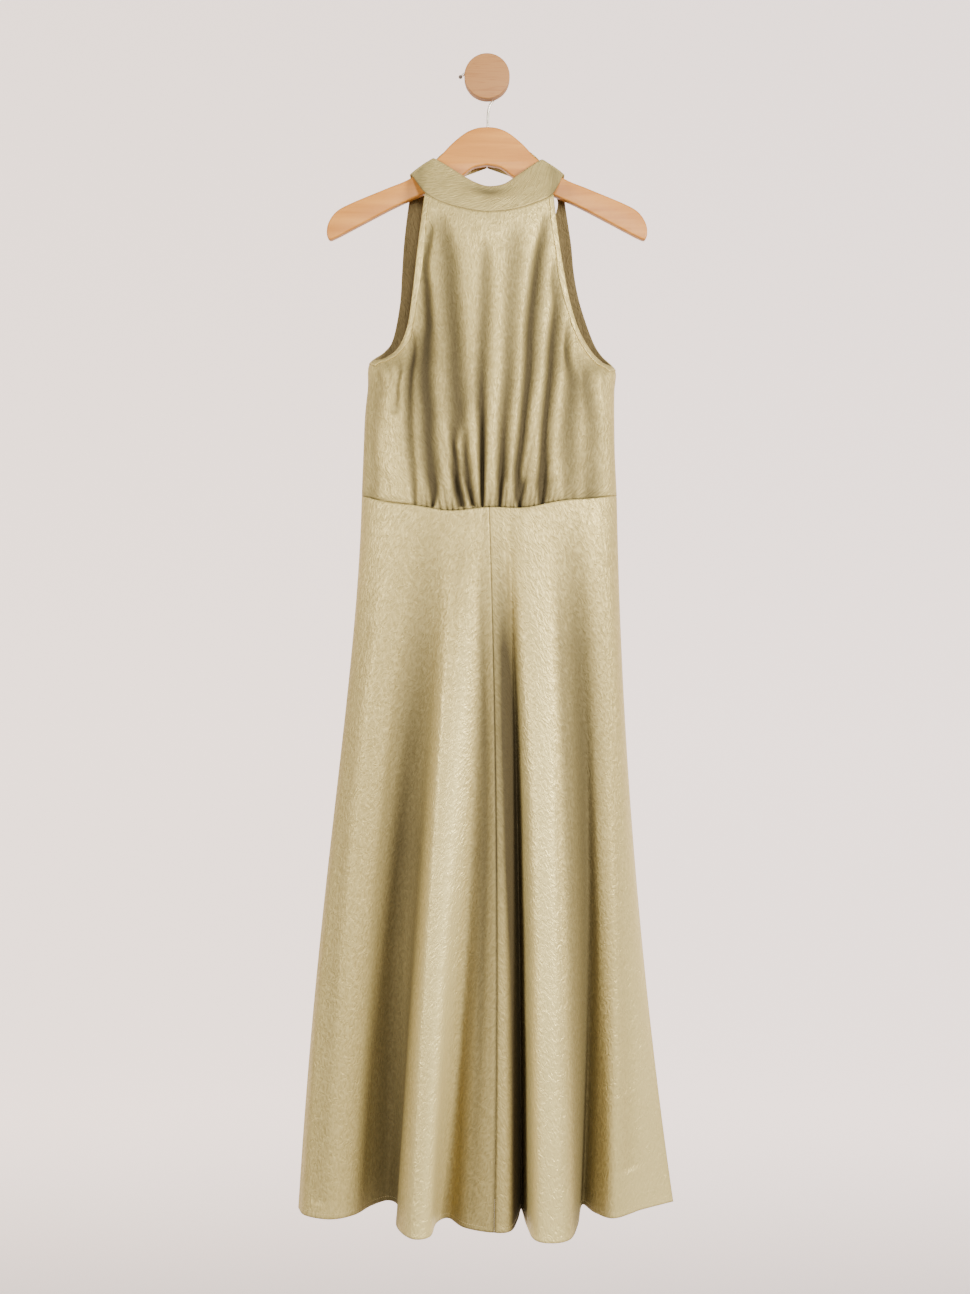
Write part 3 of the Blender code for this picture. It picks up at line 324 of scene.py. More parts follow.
BACK_CREASES = {
    "left_side": ((-372, -118, 0.0, 8.4), (-430, -112, 2.0, 8.4), (-500, -104, 3.2, 8.4),
        (-590, -98, 3.0, 8.4)),
    "left": ((-402, -74, 0.0, 6.4), (-470, -72, 2.6, 6.4), (-540, -66, 4.4, 6.4), (-590, -62, 3.6, 6.4)),
    "left_inner": ((-420, -34, 0.0, 5.6), (-490, -33, 1.8, 5.6), (-560, -30, 3.4, 5.6),
        (-590, -28, 3.0, 5.6)),
    "right_inner": ((-416, 30, 0.0, 6.0), (-480, 31, 2.0, 6.0), (-550, 27, 3.6, 6.0), (-590, 25, 3.0, 6.0)),
    "right": ((-398, 80, 0.0, 6.8), (-460, 76, 2.2, 6.8), (-540, 70, 4.2, 6.8), (-590, 66, 3.4, 6.8)),
    "right_side": ((-380, 126, 0.0, 8.8), (-440, 120, 2.2, 8.8), (-510, 112, 3.0, 8.8),
        (-590, 106, 2.8, 8.8)),
    "strap_left": ((-190, -96, 0.0, 4.0), (-240, -94, 1.4, 4.0), (-310, -86, 1.6, 4.0),
        (-380, -70, 0.0, 4.0)),
    "strap_right": ((-190, 100, 0.0, 4.0), (-250, 98, 1.5, 4.0), (-320, 88, 1.5, 4.0),
        (-390, 72, 0.0, 4.0)),
}
BACK_GATHERS = (
    (-108.0, 0.02, 20.0, 3.0, 1.4), (-97.0, 0.06, 40.0, 3.0, 2.0), (-84.0, 0.02, 24.0, 2.6, 1.8),
    (-73.0, 0.08, 30.0, 2.8, 2.2), (-61.0, 0.05, 46.0, 2.8, 2.6), (-50.0, 0.00, 22.0, 2.4, 2.0),
    (-39.0, 0.05, 34.0, 2.6, 2.2), (-28.0, 0.02, 52.0, 2.6, 2.8), (-16.0, 0.00, 24.0, 2.4, 2.0),
    (-7.0, 0.00, 18.0, 2.2, 1.4), (8.0, 0.00, 20.0, 2.2, 1.6), (17.0, 0.02, 30.0, 2.4, 2.0),
    (26.0, -0.03, 50.0, 2.6, 2.8), (37.0, 0.02, 24.0, 2.4, 2.0), (47.0, 0.04, 32.0, 2.6, 2.4),
    (58.0, 0.00, 22.0, 2.4, 1.8), (67.0, -0.05, 48.0, 2.8, 2.6), (79.0, 0.02, 26.0, 2.6, 2.0),
    (91.0, 0.03, 34.0, 2.8, 2.2), (103.0, -0.04, 42.0, 3.0, 2.0), (116.0, 0.00, 20.0, 3.2, 1.2),
)
SKIRT_BACK_CREASES = {
    "left": ((-620, -104, 0.0, 14.4), (-800, -128, 3.0, 14.4), (-1100, -152, 4.0, 14.4),
        (-1540, -172, 4.0, 14.4)),
    "left_inner": ((-610, -40, 0.0, 10.4), (-760, -46, 3.0, 10.4), (-1000, -52, 3.4, 10.4),
        (-1300, -60, 2.0, 10.4), (-1540, -66, 0.6, 10.4)),
    "right_inner": ((-610, 36, 0.0, 10.4), (-800, 44, 3.2, 10.4), (-1100, 52, 3.0, 10.4),
        (-1400, 62, 1.4, 10.4), (-1540, 66, 0.4, 10.4)),
    "right": ((-630, 100, 0.0, 13.6), (-850, 124, 2.6, 13.6), (-1150, 148, 4.0, 13.6),
        (-1540, 168, 4.4, 13.6)),
}

# Half of the hanger's outline, from the top middle round the arm's tip to the middle of the arch.
HANGER_HALF = np.array((
    (0.0, -73.6), (14.0, -75.2), (30.0, -82.0), (49.0, -97.4), (70.0, -118.8), (105.5, -144.4),
    (138.0, -158.2), (187.0, -178.6), (207.0, -190.0), (217.6, -205.0), (220.0, -219.0), (216.7, -228.0),
    (208.0, -226.0), (183.0, -213.0), (128.0, -184.2), (92.0, -168.0), (50.0, -151.0), (34.0, -141.0),
    (19.0, -129.6), (0.0, -125.6),
))
HANGER_STEPS = 6
HANGER_THICK = 12.0
HANGER_EDGE = 2.6
HOOK = np.array((
    (-34.2, -1.8), (-29.4, 1.6), (-21.6, 4.2), (-11.6, 5.4), (-1.0, 4.9), (9.2, 1.6), (17.2, -4.4),
    (21.4, -12.8), (19.8, -22.4), (13.8, -30.2), (6.6, -38.4), (2.6, -47.0), (1.2, -58.0), (1.0, -74.5),
))
WIRE = 3.4
HOOK_BALL = 2.6
DISC_RADIUS = 31.0
DISC_THICK = 14.0
DISC_ROUND = 1.6
DOWEL_RADIUS = 11.0
DOWEL_FOOT = 6.5
DOWEL_TAPER = 36.0
PEG_CLEAR = 4.0

HEM_TURN = 7.0            # height of the turned hem
BINDING_WIDTH = 9.0
BINDING_LIFT = 1.4
STITCH_PITCH = 3.6
STITCH_LENGTH = 2.7
STITCH_RADIUS = 0.28
STITCH_LIFT = 0.5


# Sizes and colours

class HalterCloth(bpy.types.PropertyGroup):
    wall: bpy.props.FloatProperty(
        name="Wall", description="Thickness of one layer of cloth", default=0.0008, unit="LENGTH")
    colour: bpy.props.FloatVectorProperty(
        name="Satin", description="Colour of the satin", size=4, subtype="COLOR",
        default=(0.64, 0.505, 0.20, 1.0))
    # Painted shade: the satin's colour low in its crinkles, where shade falls between them.
    shade: bpy.props.FloatVectorProperty(
        name="Satin in the creases", description="Colour of the satin low in its crinkles", size=4,
        subtype="COLOR", default=(0.46, 0.355, 0.128, 1.0))
    # Painted highlight: the satin's colour on the ridges of its folds, where light falls most.
    painted_highlight: bpy.props.FloatVectorProperty(
        name="Satin on ridges", description="Colour of the satin where it stands out most", size=4,
        subtype="COLOR", default=(0.88, 0.72, 0.30, 1.0))
    # Painted shade: the satin's colour in its creases and deep folds, where no light reaches.
    painted_shading: bpy.props.FloatVectorProperty(
        name="Satin in deep folds", description="Colour of the satin where no light reaches", size=4,
        subtype="COLOR", default=(0.070, 0.053, 0.026, 1.0))
    # The wrong side is duller and darker than the face, and this colour is darkened further as painted shade for
    # where it shows inside the armholes.
    inside: bpy.props.FloatVectorProperty(
        name="Satin's wrong side", description="Colour of the duller inner side of the satin", size=4,
        subtype="COLOR", default=(0.17, 0.122, 0.05, 1.0))
    thread: bpy.props.FloatVectorProperty(
        name="Thread", description="Colour of the stitches", size=4, subtype="COLOR",
        default=(0.42, 0.335, 0.18, 1.0))
    crinkle_width: bpy.props.FloatProperty(
        name="Crinkle width", description="Width of one crinkle", default=0.0026, unit="LENGTH")
    crinkle_length: bpy.props.FloatProperty(
        name="Crinkle length", description="Length of one crinkle", default=0.0060, unit="LENGTH")
    crinkle_depth: bpy.props.FloatProperty(
        name="Crinkle depth", description="Depth of the crinkles", default=0.0006, unit="LENGTH")


class HalterWood(bpy.types.PropertyGroup):
    beech: bpy.props.FloatVectorProperty(
        name="Beech", description="Colour of the hanger", size=4, subtype="COLOR",
        default=(0.55, 0.228, 0.04, 1.0))
    pine: bpy.props.FloatVectorProperty(
        name="Pine", description="Colour of the peg", size=4, subtype="COLOR",
        default=(0.36, 0.162, 0.042, 1.0))
    steel: bpy.props.FloatVectorProperty(
        name="Steel", description="Colour of the hook's lacquer", size=4, subtype="COLOR",
        default=(0.70, 0.64, 0.54, 1.0))


class HalterStage(bpy.types.PropertyGroup):
    floor_drop: bpy.props.FloatProperty(
        name="Floor", description="Height of the floor", default=-2.9, unit="LENGTH")
    cove_radius: bpy.props.FloatProperty(
        name="Cove", description="Radius of the round backdrop", default=6.5, unit="LENGTH")
    camera_distance: bpy.props.FloatProperty(
        name="Camera distance", description="From the hanger's plane to the camera", default=2.0,
        unit="LENGTH")
    key_power: bpy.props.FloatProperty(
        name="Key light", description="Power of the soft key light", default=185.0, unit="POWER")
    fill_power: bpy.props.FloatProperty(
        name="Fill light", description="Power of the fill light", default=108.0, unit="POWER")
    front_power: bpy.props.FloatProperty(
        name="Front light", description="Power of the light over the camera", default=84.0, unit="POWER")
    sky: bpy.props.FloatProperty(
        name="Room light", description="Strength of the light from all round", default=0.10)
    # Strength of the backdrop's own glow, a painted light.
    glow: bpy.props.FloatProperty(
        name="Backdrop light", description="Brightness of the backdrop behind the dress", default=2.1)


# Curves and heights shared by the pieces

def along(table, u):
    """Values at u on smooth curves through a table's rows, which lie at u = 0, 1, 2 and so on."""
    last = len(table) - 1
    i = np.clip(np.floor(u).astype(int), 0, last - 1)
    f = (np.asarray(u) - i)[..., None]
    before = 2.0 * table[:1] - table[1:2]
    after = 2.0 * table[-1:] - table[-2:-1]
    t = np.concatenate([before, table, after])
    return spline(t[i], t[i + 1], t[i + 2], t[i + 3], f)


def spline(p0, p1, p2, p3, f):
    return 0.5 * (2.0 * p1 + (p2 - p0) * f + (2.0 * p0 - 5.0 * p1 + 4.0 * p2 - p3) * f * f
                  + (3.0 * p1 - p0 - 3.0 * p2 + p3) * f ** 3)


def smooth_line(points, steps):
    points = np.asarray(points, dtype=float)
    return along(points, np.linspace(0.0, len(points) - 1.0, (len(points) - 1) * steps + 1))


def across_waist(x):
    middle = 0.5 * (WAIST_LEFT + WAIST_RIGHT)
    return np.minimum(1.0, np.abs(x - middle) / (0.5 * (WAIST_RIGHT - WAIST_LEFT)))


def waist_height(x):
    wave = WAIST_WAVE * np.cos(2.0 * math.pi * x / WAIST_WAVE_LENGTH)
    return WAIST_SIDE_Z - (WAIST_DIP - wave - WAIST_TILT * x) * (1.0 - across_waist(x) ** 2)


def waist_back_height(x):
    return WAIST_SIDE_Z - WAIST_BACK_DIP * (1.0 - across_waist(x) ** 2)


def waist_depth(x, middle):
    return middle * np.maximum(0.0, 1.0 - across_waist(x) ** WAIST_SQUARE) ** WAIST_ROUND


def hanger_outline(steps):
    return smooth_line(HANGER_HALF, steps)


def hanger_top(x):
    half = hanger_outline(HANGER_STEPS)
    upper = half[: int(np.argmax(half[:, 0])) + 1]
    return float(np.interp(abs(x), upper[:, 0], upper[:, 1]))


def collar_table():
    """The collar's sections with the heights over the hanger's arms filled in."""
    rows = []
    for xb, yb, zb, xt, yt, zt in COLLAR:
        low = hanger_top(xb) + COLLAR_ON_HANGER if zb is None else zb
        high = hanger_top(xt) + COLLAR_ON_HANGER if zt is None else zt
        rows.append((xb, yb, low, xt, yt, high))
    return np.array(rows)


def spread(counts):
    """Places along a table's rows for a grid with so many steps between each two of them."""
    parts = [k + np.arange(count) / count for k, count in enumerate(counts)]
    return np.append(np.concatenate(parts), float(len(counts)))


# Creases

def crease_depth(x, z, creases):
    """How far the listed creases lie back at places on a piece."""
    depth = np.zeros_like(x)
    for points in creases.values():
        line = smooth_line(points, 8)[::-1]
        middle = np.interp(z, line[:, 0], line[:, 1])
        strength = np.interp(z, line[:, 0], np.maximum(line[:, 2], 0.0), left=0.0, right=0.0)
        half = np.interp(z, line[:, 0], line[:, 3])
        depth += strength * np.exp(-0.7 * np.abs((x - middle) / half) ** 2.2)
    return depth


# Painted shade from a crease's depth: 0 for none, 1 for the darkest.
def painted_crease_shade(depth):
    return np.clip(depth / CREASE_FULL_SHADE, 0.0, 1.0) ** 0.66


def gather_depth(x, height, gathers, side):
    """Depth of the small gathers at a height over the waist seam, or under it where side is -1."""
    depth = np.zeros_like(x)
    up = np.maximum(height * side, 0.0)
    for place, lean, reach, half, deep in gathers:
        if side < 0:
            reach = reach * SKIRT_GATHER_SHARE
            lean = -0.6 * lean
            deep = deep * SKIRT_GATHER_SHARE
        t = (x - place - lean * up) / (half * (1.0 + 0.6 * up / reach))
        depth += deep * np.exp(-1.2 * (np.sqrt(t * t + 0.08) - 0.283)) * np.exp(-(up / reach) ** 1.5)
    return depth


def unevenness(points, size, amount, seed):
    """A slight wandering of the cloth, the same each time."""
    offset = Vector((seed * 7.3, seed * 3.1, seed * 5.7))
    flat = points.reshape(-1, 3) / size
    values = [noise.noise(Vector(place) + offset) for place in flat]
    return amount * np.array(values).reshape(points.shape[:-1])


# Surfaces: each takes grids of places and gives points in table millimetres

def front_row_points(k, share):
    """Points on whole stations of the front bodice, the last of which is the collar's lower edge."""
    xl, yl, zl, xr, yr, zr, ym, zm, bow, square, rounded = np.moveaxis(
        FRONT_STATIONS[np.minimum(k, len(FRONT_STATIONS) - 1)], -1, 0)
    a = np.abs(2.0 * share - 1.0)
    x = xl + (xr - xl) * share
    edge_y = yl + (yr - yl) * share
    y = edge_y + (ym - edge_y) * (1.0 - a ** square) ** rounded
    z = zl + (zr - zl) * share + (zm - 0.5 * (zl + zr)) * (1.0 - a ** bow)
    z = np.where(k == 0, waist_height(x) + 0.5 * SEAM, z)
    places = np.linspace(COLLAR_FRONT[0], COLLAR_FRONT[1], 61)
    edge = along(collar_table()[:, :3], places)
    top_x = edge[0, 0] + (edge[-1, 0] - edge[0, 0]) * share
    joined = k >= len(FRONT_STATIONS)
    x = np.where(joined, top_x, x)
    y = np.where(joined, np.interp(top_x, edge[:, 0], edge[:, 1]), y)
    z = np.where(joined, np.interp(top_x, edge[:, 0], edge[:, 2]) - COLLAR_SEAM, z)
    return np.stack([x, y, z], axis=-1)


def front_surface(station, share):
    """The front bodice without its creases, at stations and shares of its width."""
    last = len(FRONT_STATIONS)
    i = np.clip(np.floor(station).astype(int), 0, last - 1)
    f = (station - i)[..., None]
    p1 = front_row_points(i, share)
    p2 = front_row_points(i + 1, share)
    p0 = np.where((i > 0)[..., None], front_row_points(np.maximum(i - 1, 0), share), 2.0 * p1 - p2)
    p3 = np.where((i < last - 1)[..., None], front_row_points(np.minimum(i + 2, last), share), 2.0 * p2 - p1)
    points = spline(p0, p1, p2, p3, f)
    points[..., 1] = np.minimum(points[..., 1], -SIDE_SEAM)
    return points


def back_row_points(table, k, share, strap):
    """Points on whole stations of half of the back, the last of which is the collar's lower edge."""
    xo, yo, zo, xi, yi, zi = np.moveaxis(table[np.minimum(k, len(table) - 1)], -1, 0)
    rounding = np.interp(k, (3.0, 6.0), (WAIST_ROUND, 1.0))
    square = np.interp(k, (3.0, 6.0), (WAIST_SQUARE, 2.0))
    x = xi + (xo - xi) * share
    y = yo + (yi - yo) * np.maximum(0.0, 1.0 - share ** square) ** rounding
    z = zi + (zo - zi) * share ** 5
    z = np.where(k == 0, waist_back_height(x) + 0.5 * SEAM, z)
    end = along(collar_table()[:, :3], strap[0] + (strap[1] - strap[0]) * share)
    end[..., 2] -= COLLAR_SEAM
    joined = (k >= len(table))[..., None]
    return np.where(joined, end, np.stack([x, y, z], axis=-1))


def back_surface(table, station, share, strap):
    last = len(table)
    i = np.clip(np.floor(station).astype(int), 0, last - 1)
    f = (station - i)[..., None]
    p1 = back_row_points(table, i, share, strap)
    p2 = back_row_points(table, i + 1, share, strap)
    p0 = np.where((i > 0)[..., None], back_row_points(table, np.maximum(i - 1, 0), share, strap), 2.0 * p1 - p2)
    p3 = np.where((i < last - 1)[..., None], back_row_points(table, np.minimum(i + 2, last), share, strap),
                  2.0 * p2 - p1)
    points = spline(p0, p1, p2, p3, f)
    side = math.copysign(1.0, table[0, 0])
    points[..., 0] = side * np.maximum(side * points[..., 0], SIDE_SEAM)
    points[..., 1] = np.maximum(points[..., 1], SIDE_SEAM)
    return points


def skirt_surface(table, line, s, middle, height_at):
    """The skirt's front or back, at lines across it and shares of its length down."""
    x_waist, x_mid, x_hem, y_mid, y_hem = np.moveaxis(along(table, line), -1, 0)
    m = SKIRT_MID
    top = (s - m) * (s - 1.0) / m
    mid = s * (s - 1.0) / (m * (m - 1.0))
    hem = s * (s - m) / (1.0 - m)
    share = np.interp(x_waist, (WAIST_LEFT, HIP_EASE_END), (1.0, 0.0))
    ease = HIP_EASE * share * s * (1.0 - s) ** 3 / (0.25 * 0.75 ** 3)
    start = waist_depth(x_waist, middle)
    start = np.where(across_waist(x_waist) > 0.999, math.copysign(SIDE_SEAM, middle), start)
    x = top * x_waist + mid * x_mid + hem * x_hem + ease
    y = top * start + mid * y_mid + hem * y_hem
    z = height_at(x_waist) * (1.0 - s) + HEM_Z * s - 0.5 * SEAM * (1.0 - s)
    return np.stack([x, y, z], axis=-1), x_waist


def outward(points):
    """Unit directions out of a grid of points, whose columns and rows turn anticlockwise seen from outside."""
    out = np.cross(np.gradient(points, axis=1), np.gradient(points, axis=0))
    return out / np.maximum(np.linalg.norm(out, axis=-1), 1e-9)[..., None]


def lengths(points, axis):
    """Distances along the rows or columns of a grid from its first place, in millimetres."""
    steps = np.linalg.norm(np.diff(points, axis=axis), axis=-1)
    start = np.zeros_like(np.take(steps, [0], axis=axis))
    return np.concatenate([start, np.cumsum(steps, axis=axis)], axis=axis)


def edge_fade(distance, width):
    return 1.0 - np.exp(-(distance / width) ** 2)


def to_metres(points):
    return (points + (0.0, HANGER_Y, TABLE_Z)) * MM


# Mesh helpers

def grid_mesh(name, points, across, down, trims, look, wall, inside=None):
    """A fine grid moved to its points, with its lengths as texture places and a thin wall."""
    rows, columns = points.shape[:2]
    bm = bmesh.new()
    bmesh.ops.create_grid(bm, x_segments=columns - 1, y_segments=rows - 1, size=1.0)
    bm.verts.ensure_lookup_table()
    moved = to_metres(points).reshape(-1, 3)
    order = []
    for vert in bm.verts:
        column = round((vert.co.x + 1.0) * 0.5 * (columns - 1))
        row = round((vert.co.y + 1.0) * 0.5 * (rows - 1))
        order.append(row * columns + column)
    for vert, place in zip(bm.verts, order):
        vert.co = moved[place]
    for face in bm.faces:
        face.smooth = True
    made = new_object(name, bm, look)
    places = np.stack([across, down], axis=-1).reshape(-1, 2)[order] * MM
    lay_texture(made, "cloth", places)
    # The trim layer holds the distance from the edges and the signed painted shading: painted shade where positive,
    # painted highlight where negative.
    edges = np.stack([trims[0] * MM, trims[1]], axis=-1).reshape(-1, 2)[order]
    lay_texture(made, "trim", edges)
    if wall:
        shell = made.modifiers.new("wall", "SOLIDIFY")
        shell.thickness = wall
        shell.offset = 0.0
        if inside is not None:
            made.data.materials.append(inside)
            shell.material_offset = 1
    return made


def lay_texture(made, name, places):
    loops = np.zeros(len(made.data.loops), dtype=np.int32)
    made.data.loops.foreach_get("vertex_index", loops)
    layer = made.data.uv_layers.new(name=name)
    layer.data.foreach_set("uv", places[loops].astype(np.float32).ravel())


def new_object(name, bm, look):
    mesh = bpy.data.meshes.new(name)
    bm.to_mesh(mesh)
    bm.free()
    made = bpy.data.objects.new(name, mesh)
    bpy.context.scene.collection.objects.link(made)
    if look is not None:
        mesh.materials.append(look)
    return made


def hung(made, node):
    """Attaches a piece of cloth to the root body and hides the solid it stands for."""
    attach(made, "root")
    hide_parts(node)
    return made


def stitch_line(name, line, out, cloth):
    """A row of small stitches along a line on the cloth, standing slightly out of it."""
    along_line = lengths(line[None, :, :], 1)[0]
    count = int(along_line[-1] / STITCH_PITCH)
    bm = bmesh.new()
    for k in range(count):
        at = (k + 0.5) * STITCH_PITCH
        ends = [np.array([np.interp(at + step, along_line, line[:, i]) for i in range(3)])
                for step in (-0.5 * STITCH_LENGTH, 0.5 * STITCH_LENGTH)]
        away = np.array([np.interp(at, along_line, out[:, i]) for i in range(3)])
        run = 0.5 * (ends[1] - ends[0])
        side = np.cross(run, away)
        side = side / max(np.linalg.norm(side), 1e-9) * STITCH_RADIUS
        middle = to_metres(0.5 * (ends[0] + ends[1]) + away * STITCH_LIFT)
        columns = (run * MM, side * MM, away * STITCH_RADIUS * MM, middle)
        place = Matrix([[float(column[i]) for column in columns] for i in range(3)] + [[0.0, 0.0, 0.0, 1.0]])
        bmesh.ops.create_uvsphere(bm, u_segments=6, v_segments=4, radius=1.0, matrix=place)
    bmesh.ops.recalc_face_normals(bm, faces=bm.faces)
    for face in bm.faces:
        face.smooth = True
    look = bpy.data.materials.get("thread") or plain_thread("thread", cloth)
    made = new_object(name, bm, look)
    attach(made, "root")
    return made


# Material nodes

class Value:
    """A socket in a material, on which arithmetic adds Math nodes."""

    def __init__(self, look, socket):
        self.look = look
        self.socket = socket

    def math(self, operation, *others):
        return self.look.node("ShaderNodeMath", {"operation": operation}, [self, *others])

    def swapped(self, operation, other):
        return self.look.node("ShaderNodeMath", {"operation": operation}, [other, self])

    def __add__(self, other):
        return self.math("ADD", other)

    def __radd__(self, other):
        return self.swapped("ADD", other)

    def __sub__(self, other):
        return self.math("SUBTRACT", other)

    def __rsub__(self, other):
        return self.swapped("SUBTRACT", other)

    def __mul__(self, other):
        return self.math("MULTIPLY", other)

    def __rmul__(self, other):
        return self.swapped("MULTIPLY", other)

    def __truediv__(self, other):
        return self.math("DIVIDE", other)

    def __rtruediv__(self, other):
        return self.swapped("DIVIDE", other)

    def __pow__(self, other):
        return self.math("POWER", other)

    def __abs__(self):
        return self.math("ABSOLUTE")

    def between(self, low, high):
        """0 below low, 1 above high and smooth between."""
        return self.look.node("ShaderNodeMapRange", {"interpolation_type": "SMOOTHSTEP"},
                              {"Value": self, "From Min": low, "From Max": high}, "Result")


class Look:
    """A material made of nodes, added by one method."""

    def __init__(self, name):
        self.material = bpy.data.materials.new(name)
        self.material.use_nodes = True
        self.tree = self.material.node_tree
        self.shader = self.tree.nodes["Principled BSDF"]

    def node(self, kind, settings=None, inputs=None, output=0):
        made = self.tree.nodes.new(kind)
        for name, value in (settings or {}).items():
            if name == "stops":
                self.set_stops(made.color_ramp, value)
            else:
                setattr(made, name, value)
        pairs = inputs.items() if isinstance(inputs, dict) else enumerate(inputs or [])
        for name, value in pairs:
            self.feed(made.inputs[name], value)
        return Value(self, made.outputs[output])

    def feed(self, socket, value):
        if isinstance(value, Value):
            self.tree.links.new(value.socket, socket)
        else:
            socket.default_value = value

    def set_stops(self, ramp, stops):
        while len(ramp.elements) < len(stops):
            ramp.elements.new(1.0)
        for element, (position, colour) in zip(ramp.elements, stops):
            element.position = position
            element.color = colour

    def mix(self, share, first, second):
        return self.node("ShaderNodeMix", {"data_type": "RGBA"}, {0: share, 6: first, 7: second}, 2)

    def vector(self, operation, *inputs):
        return self.node("ShaderNodeVectorMath", {"operation": operation}, list(inputs))

    def set(self, **values):
        for name, value in values.items():
            self.feed(self.shader.inputs[name.replace("_", " ")], value)
        return self.material


def satin(name, cloth, lean=0.0, wrong_side=False):
    """Crinkled satin whose crinkles run down the piece, leaning by an angle, with pressed seams. Its colour holds
    painted shade low in the crinkles; on the face side also painted shade in deep folds and painted highlights on
    ridges.
    """
    look = Look(name)
    uv = look.node("ShaderNodeUVMap", {"uv_map": "cloth"})
    trim = look.node("ShaderNodeUVMap", {"uv_map": "trim"})
    wander = look.node("ShaderNodeTexNoise", {"noise_dimensions": "2D"},
                       {"Vector": uv, "Scale": 55.0, "Detail": 1.0}, "Color")
    drift = look.vector("SCALE", look.vector("SUBTRACT", wander, (0.5, 0.5, 0.5)))
    drift.socket.node.inputs["Scale"].default_value = 0.006
    placed = look.vector("ADD", uv, drift)
    cells = look.node("ShaderNodeMapping", {"vector_type": "TEXTURE"},
                      {"Vector": placed, "Rotation": (0.0, 0.0, lean),
                       "Scale": (cloth.crinkle_width, cloth.crinkle_length, 1.0)})
    dents = look.node("ShaderNodeTexVoronoi", {"feature": "SMOOTH_F1", "voronoi_dimensions": "2D"},
                      {"Vector": cells, "Scale": 0.8, "Smoothness": 0.7, "Randomness": 1.0}, "Distance")
    ridges = look.node("ShaderNodeTexNoise", {"noise_dimensions": "2D"},
                       {"Vector": cells, "Scale": 0.62, "Detail": 2.0, "Roughness": 0.45,
                        "Distortion": 0.5}, "Fac")
    folded = 1.0 - abs(ridges * 2.0 - 1.0) * 2.2
    grain = look.node("ShaderNodeTexNoise", {"noise_dimensions": "2D"},
                      {"Vector": uv, "Scale": 1700.0, "Detail": 1.0}, "Fac")
    slow = look.node("ShaderNodeTexNoise", {"noise_dimensions": "2D"},
                     {"Vector": uv, "Scale": 26.0, "Detail": 2.0}, "Fac")
    height = folded * 0.55 + dents * 0.75 + grain * 0.05
    edge = look.node("ShaderNodeSeparateXYZ", None, [trim], "X")
    # The trim layer's second value is the painted shading: painted shade where positive, painted highlight where
    # negative.
    painted_shading = look.node("ShaderNodeSeparateXYZ", None, [trim], "Y")
    pressed = edge.between(0.0, 0.0035)
    relief = height * (0.45 + pressed * 0.55) * (0.75 + slow * 0.5)
    # The crinkles' height sets a tone; their lows get a painted shade colour.
    tone = (height * 0.8 - 0.15).between(0.0, 1.0)
    if wrong_side:
        # On the wrong side too the crinkle lows get a painted shade.
        dark = [0.82 * part for part in cloth.inside[:3]] + [1.0]
        colour = look.mix(tone, dark, cloth.inside)
    else:
        colour = look.mix(tone, cloth.shade, cloth.colour)
        # Painted highlight on ridges, then painted shade in creases and deep folds.
        colour = look.mix((painted_shading * -0.8).math("MAXIMUM", 0.0), colour, cloth.painted_highlight)
        colour = look.mix((painted_shading * 0.97).math("MAXIMUM", 0.0), colour, cloth.painted_shading)
    bump = look.node("ShaderNodeBump", None,
                     {"Height": relief, "Distance": cloth.crinkle_depth, "Strength": 1.0}, "Normal")
    dull = 0.18 if wrong_side else 0.0
    rough = 0.40 + dull + (1.0 - tone) * 0.12 + painted_shading.math("MAXIMUM", -0.15) * 0.35
    return look.set(Base_Color=colour, Roughness=rough, Normal=bump, Metallic=0.1 if wrong_side else 0.42,
                    Specular_IOR_Level=0.1)


def plain_thread(name, cloth):
    look = Look(name)
    place = look.node("ShaderNodeTexCoord", None, None, "Object")
    twist = look.node("ShaderNodeTexNoise", None, {"Vector": place, "Scale": 900.0, "Detail": 1.0}, "Fac")
    colour = look.mix(twist, cloth.thread, cloth.colour)
    return look.set(Base_Color=colour, Roughness=0.55)


def beech_wood(name, wood):
    """Beech, with fine grain along the hanger and short dark flecks."""
    look = Look(name)
    place = look.node("ShaderNodeTexCoord", None, None, "Object")
    grain = look.node("ShaderNodeMapping", {"vector_type": "POINT"}, {"Vector": place, "Scale": (5.0, 60.0, 90.0)})
    streak = look.node("ShaderNodeTexNoise", None, {"Vector": grain, "Scale": 1.0, "Detail": 4.0, "Distortion": 0.4})
    fleck_at = look.node("ShaderNodeMapping", {"vector_type": "POINT"},
                         {"Vector": place, "Scale": (110.0, 500.0, 900.0)})
    fleck = look.node("ShaderNodeTexNoise", None, {"Vector": fleck_at, "Scale": 1.0, "Detail": 1.0}, "Fac")
    marks = fleck.between(0.60, 0.72)
    dark = (wood.beech[0] * 0.78, wood.beech[1] * 0.70, wood.beech[2] * 0.62, 1.0)
    light = (wood.beech[0] * 1.08, wood.beech[1] * 1.10, wood.beech[2] * 1.12, 1.0)
    colour = look.mix(streak.between(0.25, 0.75), dark, light)
    colour = look.mix(marks * 0.35, colour, dark)
    bump = look.node("ShaderNodeBump", None,
                     {"Height": streak * 0.6 - marks * 0.4, "Distance": 0.0001, "Strength": 0.5}, "Normal")
    return look.set(Base_Color=colour, Roughness=0.42 + marks * 0.15, Normal=bump, Coat_Weight=0.03,
                    Coat_Roughness=0.3, Specular_IOR_Level=0.3)


